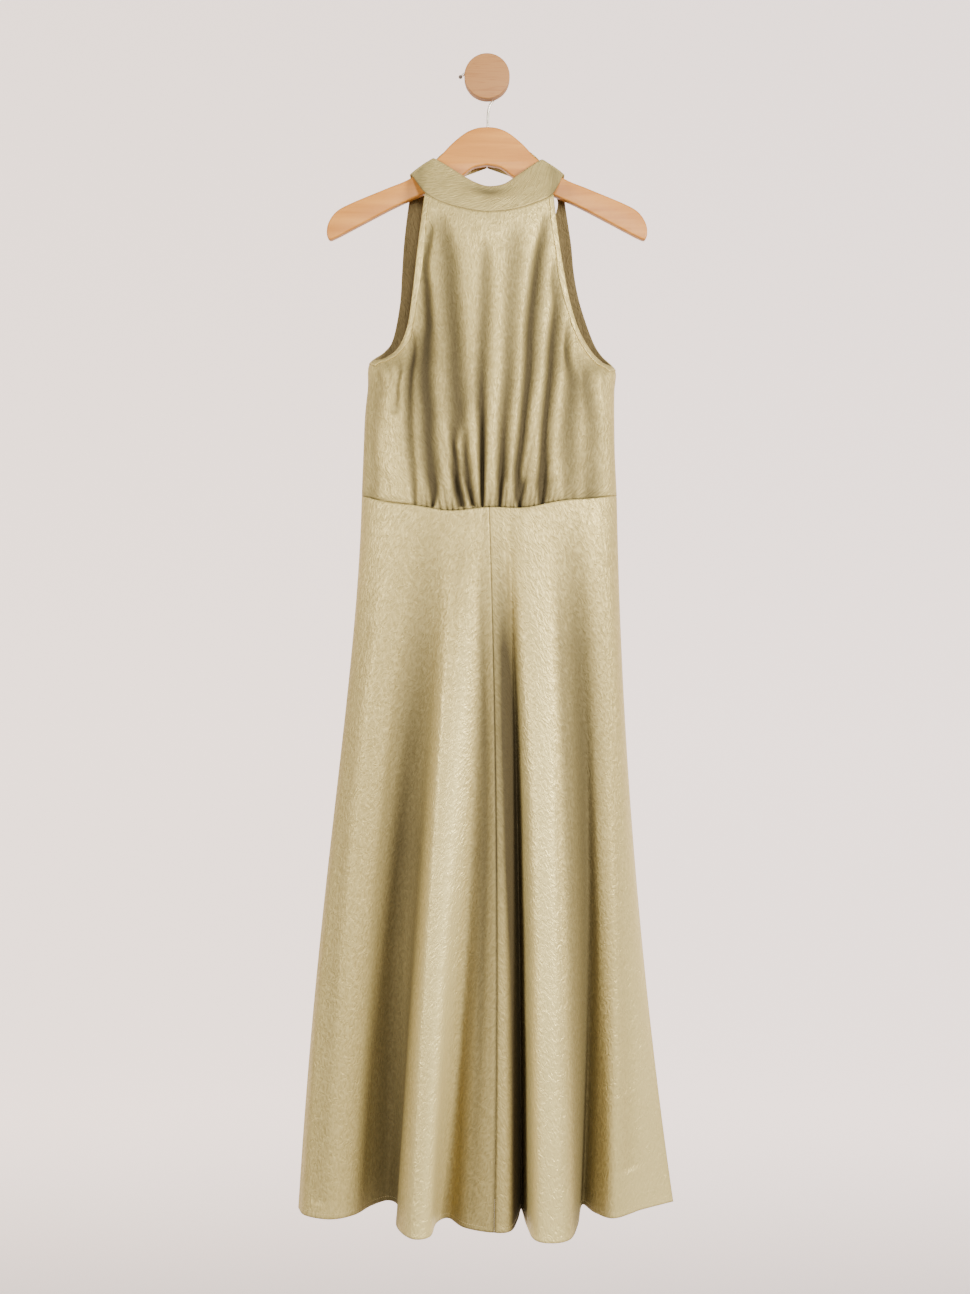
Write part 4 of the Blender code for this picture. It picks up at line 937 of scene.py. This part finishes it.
def pine_wood(name, wood):
    """Pine, with growth lines that run across the disc."""
    look = Look(name)
    place = look.node("ShaderNodeTexCoord", None, None, "Object")
    turned = look.node("ShaderNodeMapping", {"vector_type": "POINT"},
                       {"Vector": place, "Rotation": (0.0, 0.06, 0.0), "Scale": (2.2, 16.0, 38.0)})
    rings = look.node("ShaderNodeTexNoise", None, {"Vector": turned, "Scale": 2.6, "Detail": 2.0, "Distortion": 0.7})
    lines = abs((rings * 7.0).math("FRACT") * 2.0 - 1.0)
    fibre_at = look.node("ShaderNodeMapping", {"vector_type": "POINT"},
                         {"Vector": place, "Scale": (40.0, 300.0, 900.0)})
    fibre = look.node("ShaderNodeTexNoise", None, {"Vector": fibre_at, "Scale": 1.0, "Detail": 2.0}, "Fac")
    dark = (wood.pine[0] * 0.74, wood.pine[1] * 0.62, wood.pine[2] * 0.48, 1.0)
    colour = look.mix(lines.between(0.72, 1.0) * 0.6, wood.pine, dark)
    colour = look.mix(fibre * 0.35, colour, dark)
    bump = look.node("ShaderNodeBump", None,
                     {"Height": fibre * 0.5 + lines * 0.3, "Distance": 0.00015, "Strength": 0.5}, "Normal")
    return look.set(Base_Color=colour, Roughness=0.55 + fibre * 0.1, Normal=bump)


def lacquered_steel(name, wood):
    look = Look(name)
    place = look.node("ShaderNodeTexCoord", None, None, "Object")
    wear = look.node("ShaderNodeTexNoise", None, {"Vector": place, "Scale": 160.0, "Detail": 2.0}, "Fac")
    dull = (wood.steel[0] * 0.8, wood.steel[1] * 0.78, wood.steel[2] * 0.74, 1.0)
    colour = look.mix(wear.between(0.4, 0.7), wood.steel, dull)
    return look.set(Base_Color=colour, Roughness=0.3 + wear * 0.12, Metallic=0.65)


def dark_bead(name):
    look = Look(name)
    place = look.node("ShaderNodeTexCoord", None, None, "Object")
    wear = look.node("ShaderNodeTexNoise", None, {"Vector": place, "Scale": 700.0, "Detail": 1.0}, "Fac")
    colour = look.mix(wear, (0.10, 0.075, 0.055, 1.0), (0.16, 0.12, 0.09, 1.0))
    return look.set(Base_Color=colour, Roughness=0.4 + wear * 0.15)


def glowing_stage_paper(name, glow):
    """Pale paper that glows by its own emission where it faces the dress's back, a painted light, a little less warm
    towards +X.
    """
    look = Look(name)
    place = look.node("ShaderNodeTexCoord", None, None, "Object")
    parts = look.node("ShaderNodeSeparateXYZ", None, [place], "Y")
    side = look.node("ShaderNodeSeparateXYZ", None, [place], "X")
    # Painted light: the paper's glow rises from none at Y = 0.6 to full at Y = 4.6, behind the dress.
    lit = parts.between(0.6, 4.6)
    tint = look.mix(side.between(-2.5, 2.5), (1.0, 0.80, 0.70, 1.0), (1.0, 0.82, 0.76, 1.0))
    light = look.mix(lit, (0.0, 0.0, 0.0, 1.0), tint)
    return look.set(Base_Color=(0.42, 0.41, 0.40, 1.0), Roughness=0.9, Emission_Color=light,
                    Emission_Strength=glow)


# Pieces

def front_bodice_grid(station, share):
    """The creased front bodice at stations and shares of its width, and the painted shade of its creases there."""
    base = front_surface(station, share)
    out = outward(base)
    x, z = base[..., 0], base[..., 2]
    height = z - waist_height(x)
    depth = crease_depth(x, z, BODICE_CREASES)
    depth = depth + 1.9 * gather_depth(x, height, GATHERS, 1.0)
    blouse = GATHER_BLOUSE * np.exp(-((height - 9.0) / 9.0) ** 2) * (1.0 - across_waist(x) ** 4)
    seam_dip = 0.7 * np.exp(-(height / 1.6) ** 2)
    from_side = np.minimum(share, 1.0 - share) * 340.0
    wander = unevenness(base, 38.0, 0.9, 1) + unevenness(base, 15.0, 0.35, 2)
    keep = edge_fade(from_side, 6.0)
    move = (wander - depth + blouse) * keep - seam_dip
    under_collar = np.clip((station - 10.2) / 0.8, 0.0, 1.0)
    move = move * (1.0 - under_collar)
    return base + out * move[..., None], painted_crease_shade(depth)


def back_bodice_grid(table, strap, station, share, seed):
    base = back_surface(table, station, share, strap)
    out = np.zeros_like(base)
    out[..., 1] = 1.0
    x, z = base[..., 0], base[..., 2]
    height = z - waist_back_height(x)
    depth = crease_depth(x, z, BACK_CREASES) + gather_depth(x, height, BACK_GATHERS, 1.0)
    from_edge = np.minimum(share, 1.0 - share) * np.abs(table[np.minimum(station.astype(int), 11), 0]
                                                        - table[np.minimum(station.astype(int), 11), 3])
    keep = edge_fade(from_edge, 6.0)
    wander = unevenness(base, 42.0, 0.9, seed) + unevenness(base, 16.0, 0.3, seed + 1)
    blouse = GATHER_BLOUSE * np.exp(-((height - 9.0) / 9.0) ** 2)
    move = (wander - depth + blouse) * keep - 1.0 * np.exp(-(height / 2.2) ** 2)
    move = move * (1.0 - np.clip((station - 11.0), 0.0, 1.0))
    # The second result is the painted shade of the creases.
    return base + out * move[..., None], painted_crease_shade(depth)


def skirt_grid(table, middle, height_at, creases, gathers, painted_shading_rows, line, s, seed):
    base, x_waist = skirt_surface(table, line, s, middle, height_at)
    out = outward(base)
    x, z = base[..., 0], base[..., 2]
    below = z - height_at(x_waist)
    depth = crease_depth(x, z, creases) + gather_depth(x_waist, below, gathers, -1.0)
    seam_dip = 0.6 * np.exp(-(below / 1.6) ** 2)
    wander = unevenness(base * (1.0, 0.4, 0.3), 34.0, 0.9, seed) + unevenness(base * (1.0, 0.4, 0.6), 15.0, 0.3, seed + 1)
    fade = edge_fade(-below + 2.0, 14.0)
    from_hem = z - HEM_Z
    turn = 0.35 * np.exp(-(from_hem / HEM_TURN) ** 6) - 0.35 * np.exp(-((from_hem - HEM_TURN) / 1.0) ** 2)
    # Painted shade in the valleys and creases, less the painted highlights on the ridges.
    painted_shading = skirt_painted_shading(line, s, painted_shading_rows[0]) + 0.6 * painted_crease_shade(depth) - skirt_painted_shading(line, s, painted_shading_rows[1])
    wander = wander * fade * (1.0 - 0.8 * np.clip(painted_shading, 0.0, 1.0))
    return base, out, wander - depth + turn, seam_dip, np.clip(painted_shading, -1.0, 1.0)


def skirt_painted_shading(line, s, painted_shading_rows):
    """How strong the painted shade of valley rows, and likewise the painted highlight of ridge rows, is at lines
    across the skirt and shares of its length down.
    """
    dark = np.zeros_like(s)
    for middle, left, right, steep_left, steep_right, shares in painted_shading_rows:
        off = line - middle
        shape = np.where(off < 0.0, np.abs(off / left) ** steep_left, np.abs(off / right) ** steep_right)
        dark = dark + np.interp(s, VALLEY_SHARES, shares) * np.exp(-shape)
    return np.clip(dark, 0.0, 1.0)


class HALTER_OT_front_bodice(bpy.types.Operator):
    """Front bodice, gathered at the waist, its folds fanning up to the armholes and the collar"""
    bl_idname = "halter.front_bodice"
    bl_label = "Front bodice"

    def execute(self, context):
        cloth = context.scene.halter_cloth
        g = np.linspace(0.0, 1.0, FRONT_COLUMNS + 1)
        shares = 0.62 * g + 0.38 * (0.5 - 0.5 * np.cos(math.pi * g))
        station, share = np.meshgrid(spread(FRONT_ROWS), shares, indexing="ij")
        points, painted_shading = front_bodice_grid(station, share)
        across = lengths(points, 1)
        across = across - across[:, [FRONT_COLUMNS // 2]]
        down = lengths(points, 0)
        edge = np.minimum(lengths(points, 1), lengths(points[:, ::-1], 1)[:, ::-1])
        look = satin("satin_bodice", cloth)
        inside = satin("satin_bodice_inside", cloth, wrong_side=True)
        made = grid_mesh("satin_front_bodice", points, across, down, (edge, painted_shading), look, cloth.wall, inside)
        hung(made, "front_bodice")
        return {"FINISHED"}


class HALTER_OT_back_bodice(bpy.types.Operator):
    """Halves of the back bodice, which leave the back open above their centre seam"""
    bl_idname = "halter.back_bodice"
    bl_label = "Back bodice"

    def execute(self, context):
        cloth = context.scene.halter_cloth
        look = satin("satin_back_bodice", cloth)
        inside = satin("satin_back_bodice_inside", cloth, wrong_side=True)
        for side, table in (("left", BACK_LEFT), ("right", BACK_RIGHT)):
            g = np.linspace(0.0, 1.0, BACK_COLUMNS + 1)
            shares = g if side == "left" else g[::-1]
            shares = 1.0 - (1.0 - shares) ** 1.25
            station, share = np.meshgrid(spread(BACK_ROWS), shares, indexing="ij")
            points, painted_shading = back_bodice_grid(table, STRAP_ENDS[side], station, share,
                                              5 if side == "left" else 8)
            across = lengths(points, 1)
            down = lengths(points, 0)
            edge = np.minimum(across, lengths(points[:, ::-1], 1)[:, ::-1])
            name = "back_bodice_" + side
            made = grid_mesh("satin_" + name, points, across, down, (edge, painted_shading), look, cloth.wall, inside)
            hung(made, name)
        return {"FINISHED"}


class HALTER_OT_collar(bpy.types.Operator):
    """Collar band, which lies over both arms of the hanger"""
    bl_idname = "halter.collar"
    bl_label = "Collar band"

    def execute(self, context):
        cloth = context.scene.halter_cloth
        sections = np.linspace(0.0, len(COLLAR) - 1.0, COLLAR_COLUMNS + 1)
        edges = along(collar_table(), sections)
        rise = np.linspace(0.0, 1.0, COLLAR_ROWS + 1)[:, None, None]
        base = edges[None, :, :3] * (1.0 - rise) + edges[None, :, 3:] * rise
        out = outward(base)
        up = rise[..., 0]
        wander = unevenness(base, 22.0, 0.8, 12) + unevenness(base, 9.0, 0.4, 13)
        bulge = 1.1 * np.sin(math.pi * np.clip(up, 0.0, 1.0)) + 0.5 * np.exp(-((up - 0.93) / 0.08) ** 2)
        inside_edges = np.minimum(up, 1.0 - up)
        points = base + out * (wander * edge_fade(inside_edges, 0.12) + bulge)[..., None]
        across = lengths(points, 1)
        down = lengths(points, 0)
        look = satin("satin_collar", cloth)
        x = points[..., 0]
        at_front = (points[..., 1] < -10.0) * 1.0
        # Painted shade: under the roll of the collar's upper edge at the front, at the sides of its front by the
        # hanger's arms, and along its lower seam all round.
        roll_shade = 0.8 * np.exp(-((x - 2.0) / 26.0) ** 2) * np.exp(-((up - 0.74) / 0.2) ** 2)
        lower = 0.35 * np.exp(-(up / 0.035) ** 2)
        corner_shade = 0.45 * np.exp(-((np.abs(x) - 92.0) / 9.0) ** 2)
        painted_shading = (roll_shade + corner_shade) * at_front + lower
        made = grid_mesh("satin_collar_band", points, across, down, (down, painted_shading), look, 0.0018)
        hung(made, "collar_band")
        return {"FINISHED"}


class HALTER_OT_skirt(bpy.types.Operator):
    """Front and back panels of the skirt, with their deep hanging folds"""
    bl_idname = "halter.skirt"
    bl_label = "Skirt"

    def execute(self, context):
        cloth = context.scene.halter_cloth
        for face, table, seam, grid, middle, height_at, creases, gathers, painted_shading_rows in (
                ("front", SKIRT_FRONT, SKIRT_FRONT_SEAM, SKIRT_FRONT_GRID, WAIST_FRONT, waist_height,
                 SKIRT_CREASES, GATHERS, (FRONT_VALLEY_SHADES, FRONT_RIDGE_HIGHLIGHTS)),
                ("back", SKIRT_BACK, SKIRT_BACK_SEAM, SKIRT_BACK_GRID, WAIST_BACK, waist_back_height,
                 SKIRT_BACK_CREASES, BACK_GATHERS, (BACK_VALLEY_SHADES, BACK_RIDGE_HIGHLIGHTS))):
            for side in ("left", "right"):
                last = len(table) - 1
                g = np.linspace(0.0, 1.0, grid[0] + 1)
                eased = 0.7 * g + 0.3 * g ** 2
                lines = seam * eased if side == "left" else last - (last - seam) * eased[::-1]
                if face == "back":
                    lines = lines[::-1]
                q = np.linspace(0.0, 1.0, grid[1] + 1)
                shares = (0.72 * q + 0.28 * q ** 2)[::-1]
                s, line = np.meshgrid(shares, lines, indexing="ij")
                seed = 20 if face == "front" else 24
                base, out, move, seam_dip, painted_shading = skirt_grid(table, middle, height_at, creases, gathers, painted_shading_rows,
                                                             line, s, seed)
                seam_column = int(np.argmin(np.abs(lines - seam)))
                across = lengths(base, 1)
                across = np.abs(across - across[:, [seam_column]])
                side_column = 0 if seam_column else grid[0]
                from_side = lengths(base, 1)
                from_side = np.abs(from_side - from_side[:, [side_column]])
                move = move * edge_fade(from_side, 7.0) * edge_fade(across + 1.0, 2.5) - seam_dip
                move = move - 0.9 * np.exp(-(across / 2.0) ** 2)
                points = base + out * move[..., None]
                gap = 0.5 * SEAM * (-1.0 if side == "left" else 1.0)
                points[:, seam_column, 0] = points[:, seam_column, 0] + gap
                signed = across * (-1.0 if side == "left" else 1.0)
                down = lengths(base, 0)
                name = "skirt_" + face + "_" + side
                lean = math.radians(28.0) * (-1.0 if side == "left" else 1.0)
                look = satin("satin_" + name, cloth, lean)
                inside = satin("satin_" + name + "_inside", cloth, lean, wrong_side=True)
                trim = np.minimum(across, from_side)
                # Painted shade along the centre seam.
                painted_shading = np.clip(painted_shading + 0.4 * np.exp(-(across / 0.9) ** 2), -1.0, 1.0)
                made = grid_mesh("satin_" + name, points, signed, down, (trim, painted_shading), look, cloth.wall,
                                 inside)
                hung(made, name)
                row = int(np.argmin(np.abs(down[:, seam_column] - HEM_TURN)))
                away = outward(points)
                stitch_line("hem_stitches_" + face + "_" + side, points[row, 2:-2], away[row, 2:-2], cloth)
        return {"FINISHED"}


class HALTER_OT_bindings(bpy.types.Operator):
    """Bound edges of the armholes and of the back opening"""
    bl_idname = "halter.bindings"
    bl_label = "Bindings"

    def execute(self, context):
        cloth = context.scene.halter_cloth
        look = satin("satin_binding", cloth)
        for side in ("left", "right"):
            self.front(side, cloth, look)
            self.back(side, cloth, look, "armhole")
            self.back(side, cloth, look, "opening")
        return {"FINISHED"}

    def front(self, side, cloth, look):
        rows = spread(FRONT_ROWS)
        rows = rows[rows >= ARMHOLE_STATION]
        rows[-1] -= 0.05
        station = np.repeat(rows[:, None], 9, axis=1)
        width = front_surface(station, np.full_like(station, 1.0)) - front_surface(station, np.zeros_like(station))
        width = np.linalg.norm(width, axis=-1)
        taper = np.interp(rows, (4.0, 7.0, 11.0), (1.0, 0.72, 0.6))[:, None]
        inward = np.linspace(0.0, BINDING_WIDTH, 9)[None, :] * taper
        share = inward / width
        if side == "right":
            share = 1.0 - share[:, ::-1]
        points, _ = front_bodice_grid(station, share)
        self.strip("armhole_binding_front_" + side, points, cloth, look, "satin", side == "right")

    def back(self, side, cloth, look, edge):
        table = BACK_LEFT if side == "left" else BACK_RIGHT
        rows = spread(BACK_ROWS)
        rows = rows[rows >= (ARMHOLE_STATION if edge == "armhole" else OPENING_STATION)]
        rows[-1] -= 0.05
        station = np.repeat(rows[:, None], 9, axis=1)
        strap = STRAP_ENDS[side]
        width = (back_surface(table, station, np.full_like(station, 1.0), strap)
                 - back_surface(table, station, np.zeros_like(station), strap))
        width = np.linalg.norm(width, axis=-1)
        inward = np.linspace(0.0, BINDING_WIDTH, 9)[None, :]
        share = np.minimum(inward / width, 0.48)
        if edge == "armhole":
            share = 1.0 - share
        outer_first = (edge == "armhole") == (side == "left")
        if outer_first:
            share = share[:, ::-1]
        points, _ = back_bodice_grid(table, strap, station, share, 5 if side == "left" else 8)
        self.strip(edge + "_binding_" + ("back_" if edge == "armhole" else "") + side, points, cloth, look,
                   "satin_back", False)

    def strip(self, node, points, cloth, look, slot, flipped):
        out = outward(points)
        lifted = points + out * (BINDING_LIFT - 0.2)
        across = lengths(lifted, 1)
        down = lengths(lifted, 0)
        made = grid_mesh("satin_" + node, lifted, across, down, (across, 0.0 * across), look, 0.001)
        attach(made, "root")
        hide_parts(node)
        inner = 2 if flipped else -3
        stitch_line(node + "_stitches", lifted[2:-3, inner], out[2:-3, inner], cloth)


class HALTER_OT_hanger(bpy.types.Operator):
    """Flat wooden hanger with rounded edges"""
    bl_idname = "halter.hanger"
    bl_label = "Hanger"

    def execute(self, context):
        wood = context.scene.halter_wood
        half = hanger_outline(HANGER_STEPS)
        outline = np.concatenate([half, half[-2:0:-1] * (-1.0, 1.0)])
        bm = bmesh.new()
        front = (HANGER_Y - 0.5 * HANGER_THICK) * MM
        ring = [bm.verts.new((x * MM, front, (z + TABLE_Z) * MM)) for x, z in outline]
        face = bm.faces.new(ring)
        grown = bmesh.ops.extrude_face_region(bm, geom=[face])
        moved = [item for item in grown["geom"] if isinstance(item, bmesh.types.BMVert)]
        bmesh.ops.translate(bm, verts=moved, vec=(0.0, HANGER_THICK * MM, 0.0))
        bmesh.ops.recalc_face_normals(bm, faces=bm.faces)
        rims = [edge for edge in bm.edges
                if abs(edge.verts[0].co.y - edge.verts[1].co.y) < 1e-6]
        bmesh.ops.bevel(bm, geom=rims, affect="EDGES", offset=HANGER_EDGE * MM, segments=5, profile=0.5,
                        material=-1)
        for face in bm.faces:
            face.smooth = True
        made = new_object("wooden_hanger", bm, beech_wood("beech", wood))
        made.data.set_sharp_from_angle(angle=math.radians(50.0))
        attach(made, "root")
        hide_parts("hanger")
        return {"FINISHED"}


class HALTER_OT_hook(bpy.types.Operator):
    """Lacquered wire hook with a dark bead on its tip"""
    bl_idname = "halter.hook"
    bl_label = "Hook"

    def execute(self, context):
        wood = context.scene.halter_wood
        line = smooth_line(HOOK, 8)
        data = bpy.data.curves.new("wire_hook", "CURVE")
        data.dimensions = "3D"
        data.bevel_depth = 0.5 * WIRE * MM
        data.bevel_resolution = 6
        data.use_fill_caps = True
        path = data.splines.new("POLY")
        path.points.add(len(line) - 1)
        for point, (x, z) in zip(path.points, line):
            point.co = (x * MM, HANGER_Y * MM, (z + TABLE_Z) * MM, 1.0)
        path.use_smooth = True
        made = bpy.data.objects.new("wire_hook", data)
        context.scene.collection.objects.link(made)
        data.materials.append(lacquered_steel("lacquered_steel", wood))
        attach(made, "root")
        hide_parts("hook_wire")
        ahead = (line[0] - line[1]) / np.linalg.norm(line[0] - line[1])
        x, z = line[0] + ahead * (HOOK_BALL + SEAM)
        bm = bmesh.new()
        bmesh.ops.create_uvsphere(bm, u_segments=24, v_segments=16, radius=HOOK_BALL * MM)
        bmesh.ops.translate(bm, verts=bm.verts, vec=(x * MM, HANGER_Y * MM, (z + TABLE_Z) * MM))
        for face in bm.faces:
            face.smooth = True
        bead = new_object("hook_tip_bead", bm, dark_bead("dark_bead"))
        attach(bead, "root")
        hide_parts("hook_bead")
        return {"FINISHED"}


class HALTER_OT_peg(bpy.types.Operator):
    """Wall peg turned from pine: a dowel with a round disc on its front"""
    bl_idname = "halter.peg"
    bl_label = "Wall peg"

    def execute(self, context):
        wood = context.scene.halter_wood
        back = -HANGER_Y + PEG_CLEAR
        front = back + DISC_THICK
        e = DISC_ROUND
        turn = [(DISC_RADIUS - e + e * math.sin(a), front - e + e * math.cos(a))
                for a in np.linspace(0.0, 0.5 * math.pi, 6)]
        profile = [(0.0, front)] + turn + [(DISC_RADIUS, back + 1.0), (DISC_RADIUS - 1.0, back),
                                           (DOWEL_RADIUS, back), (DOWEL_RADIUS, DOWEL_TAPER), (DOWEL_FOOT, 0.0),
                                           (0.0, 0.0)]
        bm = bmesh.new()
        points = [bm.verts.new((radius * MM, -height * MM, 0.0)) for radius, height in profile]
        edges = [bm.edges.new(pair) for pair in zip(points[:-1], points[1:])]
        bmesh.ops.spin(bm, geom=points + edges, cent=(0.0, 0.0, 0.0), axis=(0.0, 1.0, 0.0),
                       angle=2.0 * math.pi, steps=96, use_merge=True)
        bmesh.ops.remove_doubles(bm, verts=bm.verts, dist=1e-6)
        bmesh.ops.recalc_face_normals(bm, faces=bm.faces)
        for face in bm.faces:
            face.smooth = True
        made = new_object("pine_wall_peg", bm, pine_wood("pine", wood))
        made.data.set_sharp_from_angle(angle=math.radians(40.0))
        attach(made, "root")
        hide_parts("wall_peg")
        return {"FINISHED"}


class HALTER_OT_stage(bpy.types.Operator):
    """Plain pale floor with a round backdrop, soft lights and the camera"""
    bl_idname = "halter.stage"
    bl_label = "Stage"

    def execute(self, context):
        stage = context.scene.halter_stage
        bend = 1.6
        radius = stage.cove_radius
        low = stage.floor_drop
        turn = [(radius - bend + bend * math.sin(a), low + bend - bend * math.cos(a))
                for a in np.linspace(0.0, 0.5 * math.pi, 12)]
        profile = [(0.0, low)] + turn + [(radius, low + 7.0)]
        bm = bmesh.new()
        points = [bm.verts.new((distance, 0.0, height)) for distance, height in profile]
        edges = [bm.edges.new(pair) for pair in zip(points[:-1], points[1:])]
        bmesh.ops.spin(bm, geom=points + edges, cent=(0.0, 0.0, 0.0), axis=(0.0, 0.0, 1.0),
                       angle=2.0 * math.pi, steps=96, use_merge=True)
        bmesh.ops.remove_doubles(bm, verts=bm.verts, dist=1e-5)
        bmesh.ops.recalc_face_normals(bm, faces=bm.faces)
        bmesh.ops.reverse_faces(bm, faces=bm.faces)
        for face in bm.faces:
            face.smooth = True
        new_object("floor_and_backdrop", bm, glowing_stage_paper("glowing_stage_paper", stage.glow))
        self.light("key_light", (2.3, -2.25, 0.15), 0.9, stage.key_power)
        self.light("fill_light", (-2.5, -2.1, -0.2), 1.3, stage.fill_power)
        self.light("front_light", (0.5, -3.4, 0.4), 0.6, stage.front_power)
        world = bpy.data.worlds.new("room")
        world.use_nodes = True
        sky = world.node_tree.nodes["Background"]
        sky.inputs["Color"].default_value = (1.0, 0.985, 0.965, 1.0)
        sky.inputs["Strength"].default_value = stage.sky
        context.scene.world = world
        lens = bpy.data.cameras.new("camera")
        lens.sensor_width = 36.0
        lens.lens = 40.47
        lens.clip_end = 60.0
        camera = bpy.data.objects.new("camera", lens)
        camera.location = (-0.00275, HANGER_Y * MM - stage.camera_distance, -0.7787)
        camera.rotation_euler = (math.radians(90.0), 0.0, 0.0)
        context.scene.collection.objects.link(camera)
        context.scene.camera = camera
        return {"FINISHED"}

    def light(self, name, place, size, power):
        data = bpy.data.lights.new(name, "AREA")
        data.size = size
        data.energy = power
        made = bpy.data.objects.new(name, data)
        made.location = place
        aim = Vector((0.0, -0.06, -0.75)) - Vector(place)
        made.rotation_euler = aim.to_track_quat("-Z", "Y").to_euler()
        made.visible_camera = False
        bpy.context.scene.collection.objects.link(made)


class HALTER_PT_panel(bpy.types.Panel):
    """Lists the sizes, colours and pieces of the halter dress"""
    bl_idname = "HALTER_PT_panel"
    bl_label = "Halter dress"
    bl_space_type = "VIEW_3D"
    bl_region_type = "UI"
    bl_category = "Halter dress"

    def draw(self, context):
        for group in (context.scene.halter_cloth, context.scene.halter_wood, context.scene.halter_stage):
            box = self.layout.box()
            for name in group.__annotations__:
                box.prop(group, name)
        for piece in PIECES:
            self.layout.operator(piece.bl_idname)


GROUPS = {"halter_cloth": HalterCloth, "halter_wood": HalterWood, "halter_stage": HalterStage}
PIECES = (
    HALTER_OT_peg, HALTER_OT_hook, HALTER_OT_hanger, HALTER_OT_collar, HALTER_OT_front_bodice,
    HALTER_OT_back_bodice, HALTER_OT_bindings, HALTER_OT_skirt, HALTER_OT_stage,
)


def register():
    for name, group in GROUPS.items():
        bpy.utils.register_class(group)
        setattr(bpy.types.Scene, name, bpy.props.PointerProperty(type=group))
    for piece in PIECES:
        bpy.utils.register_class(piece)
    bpy.utils.register_class(HALTER_PT_panel)


def unregister():
    bpy.utils.unregister_class(HALTER_PT_panel)
    for piece in reversed(PIECES):
        bpy.utils.unregister_class(piece)
    for name, group in GROUPS.items():
        delattr(bpy.types.Scene, name)
        bpy.utils.unregister_class(group)


def main():
    register()
    bpy.ops.halter.peg()
    bpy.ops.halter.hook()
    bpy.ops.halter.hanger()
    bpy.ops.halter.collar()
    bpy.ops.halter.front_bodice()
    bpy.ops.halter.back_bodice()
    bpy.ops.halter.bindings()
    bpy.ops.halter.skirt()
    bpy.ops.halter.stage()


if __name__ == "__main__":
    main()
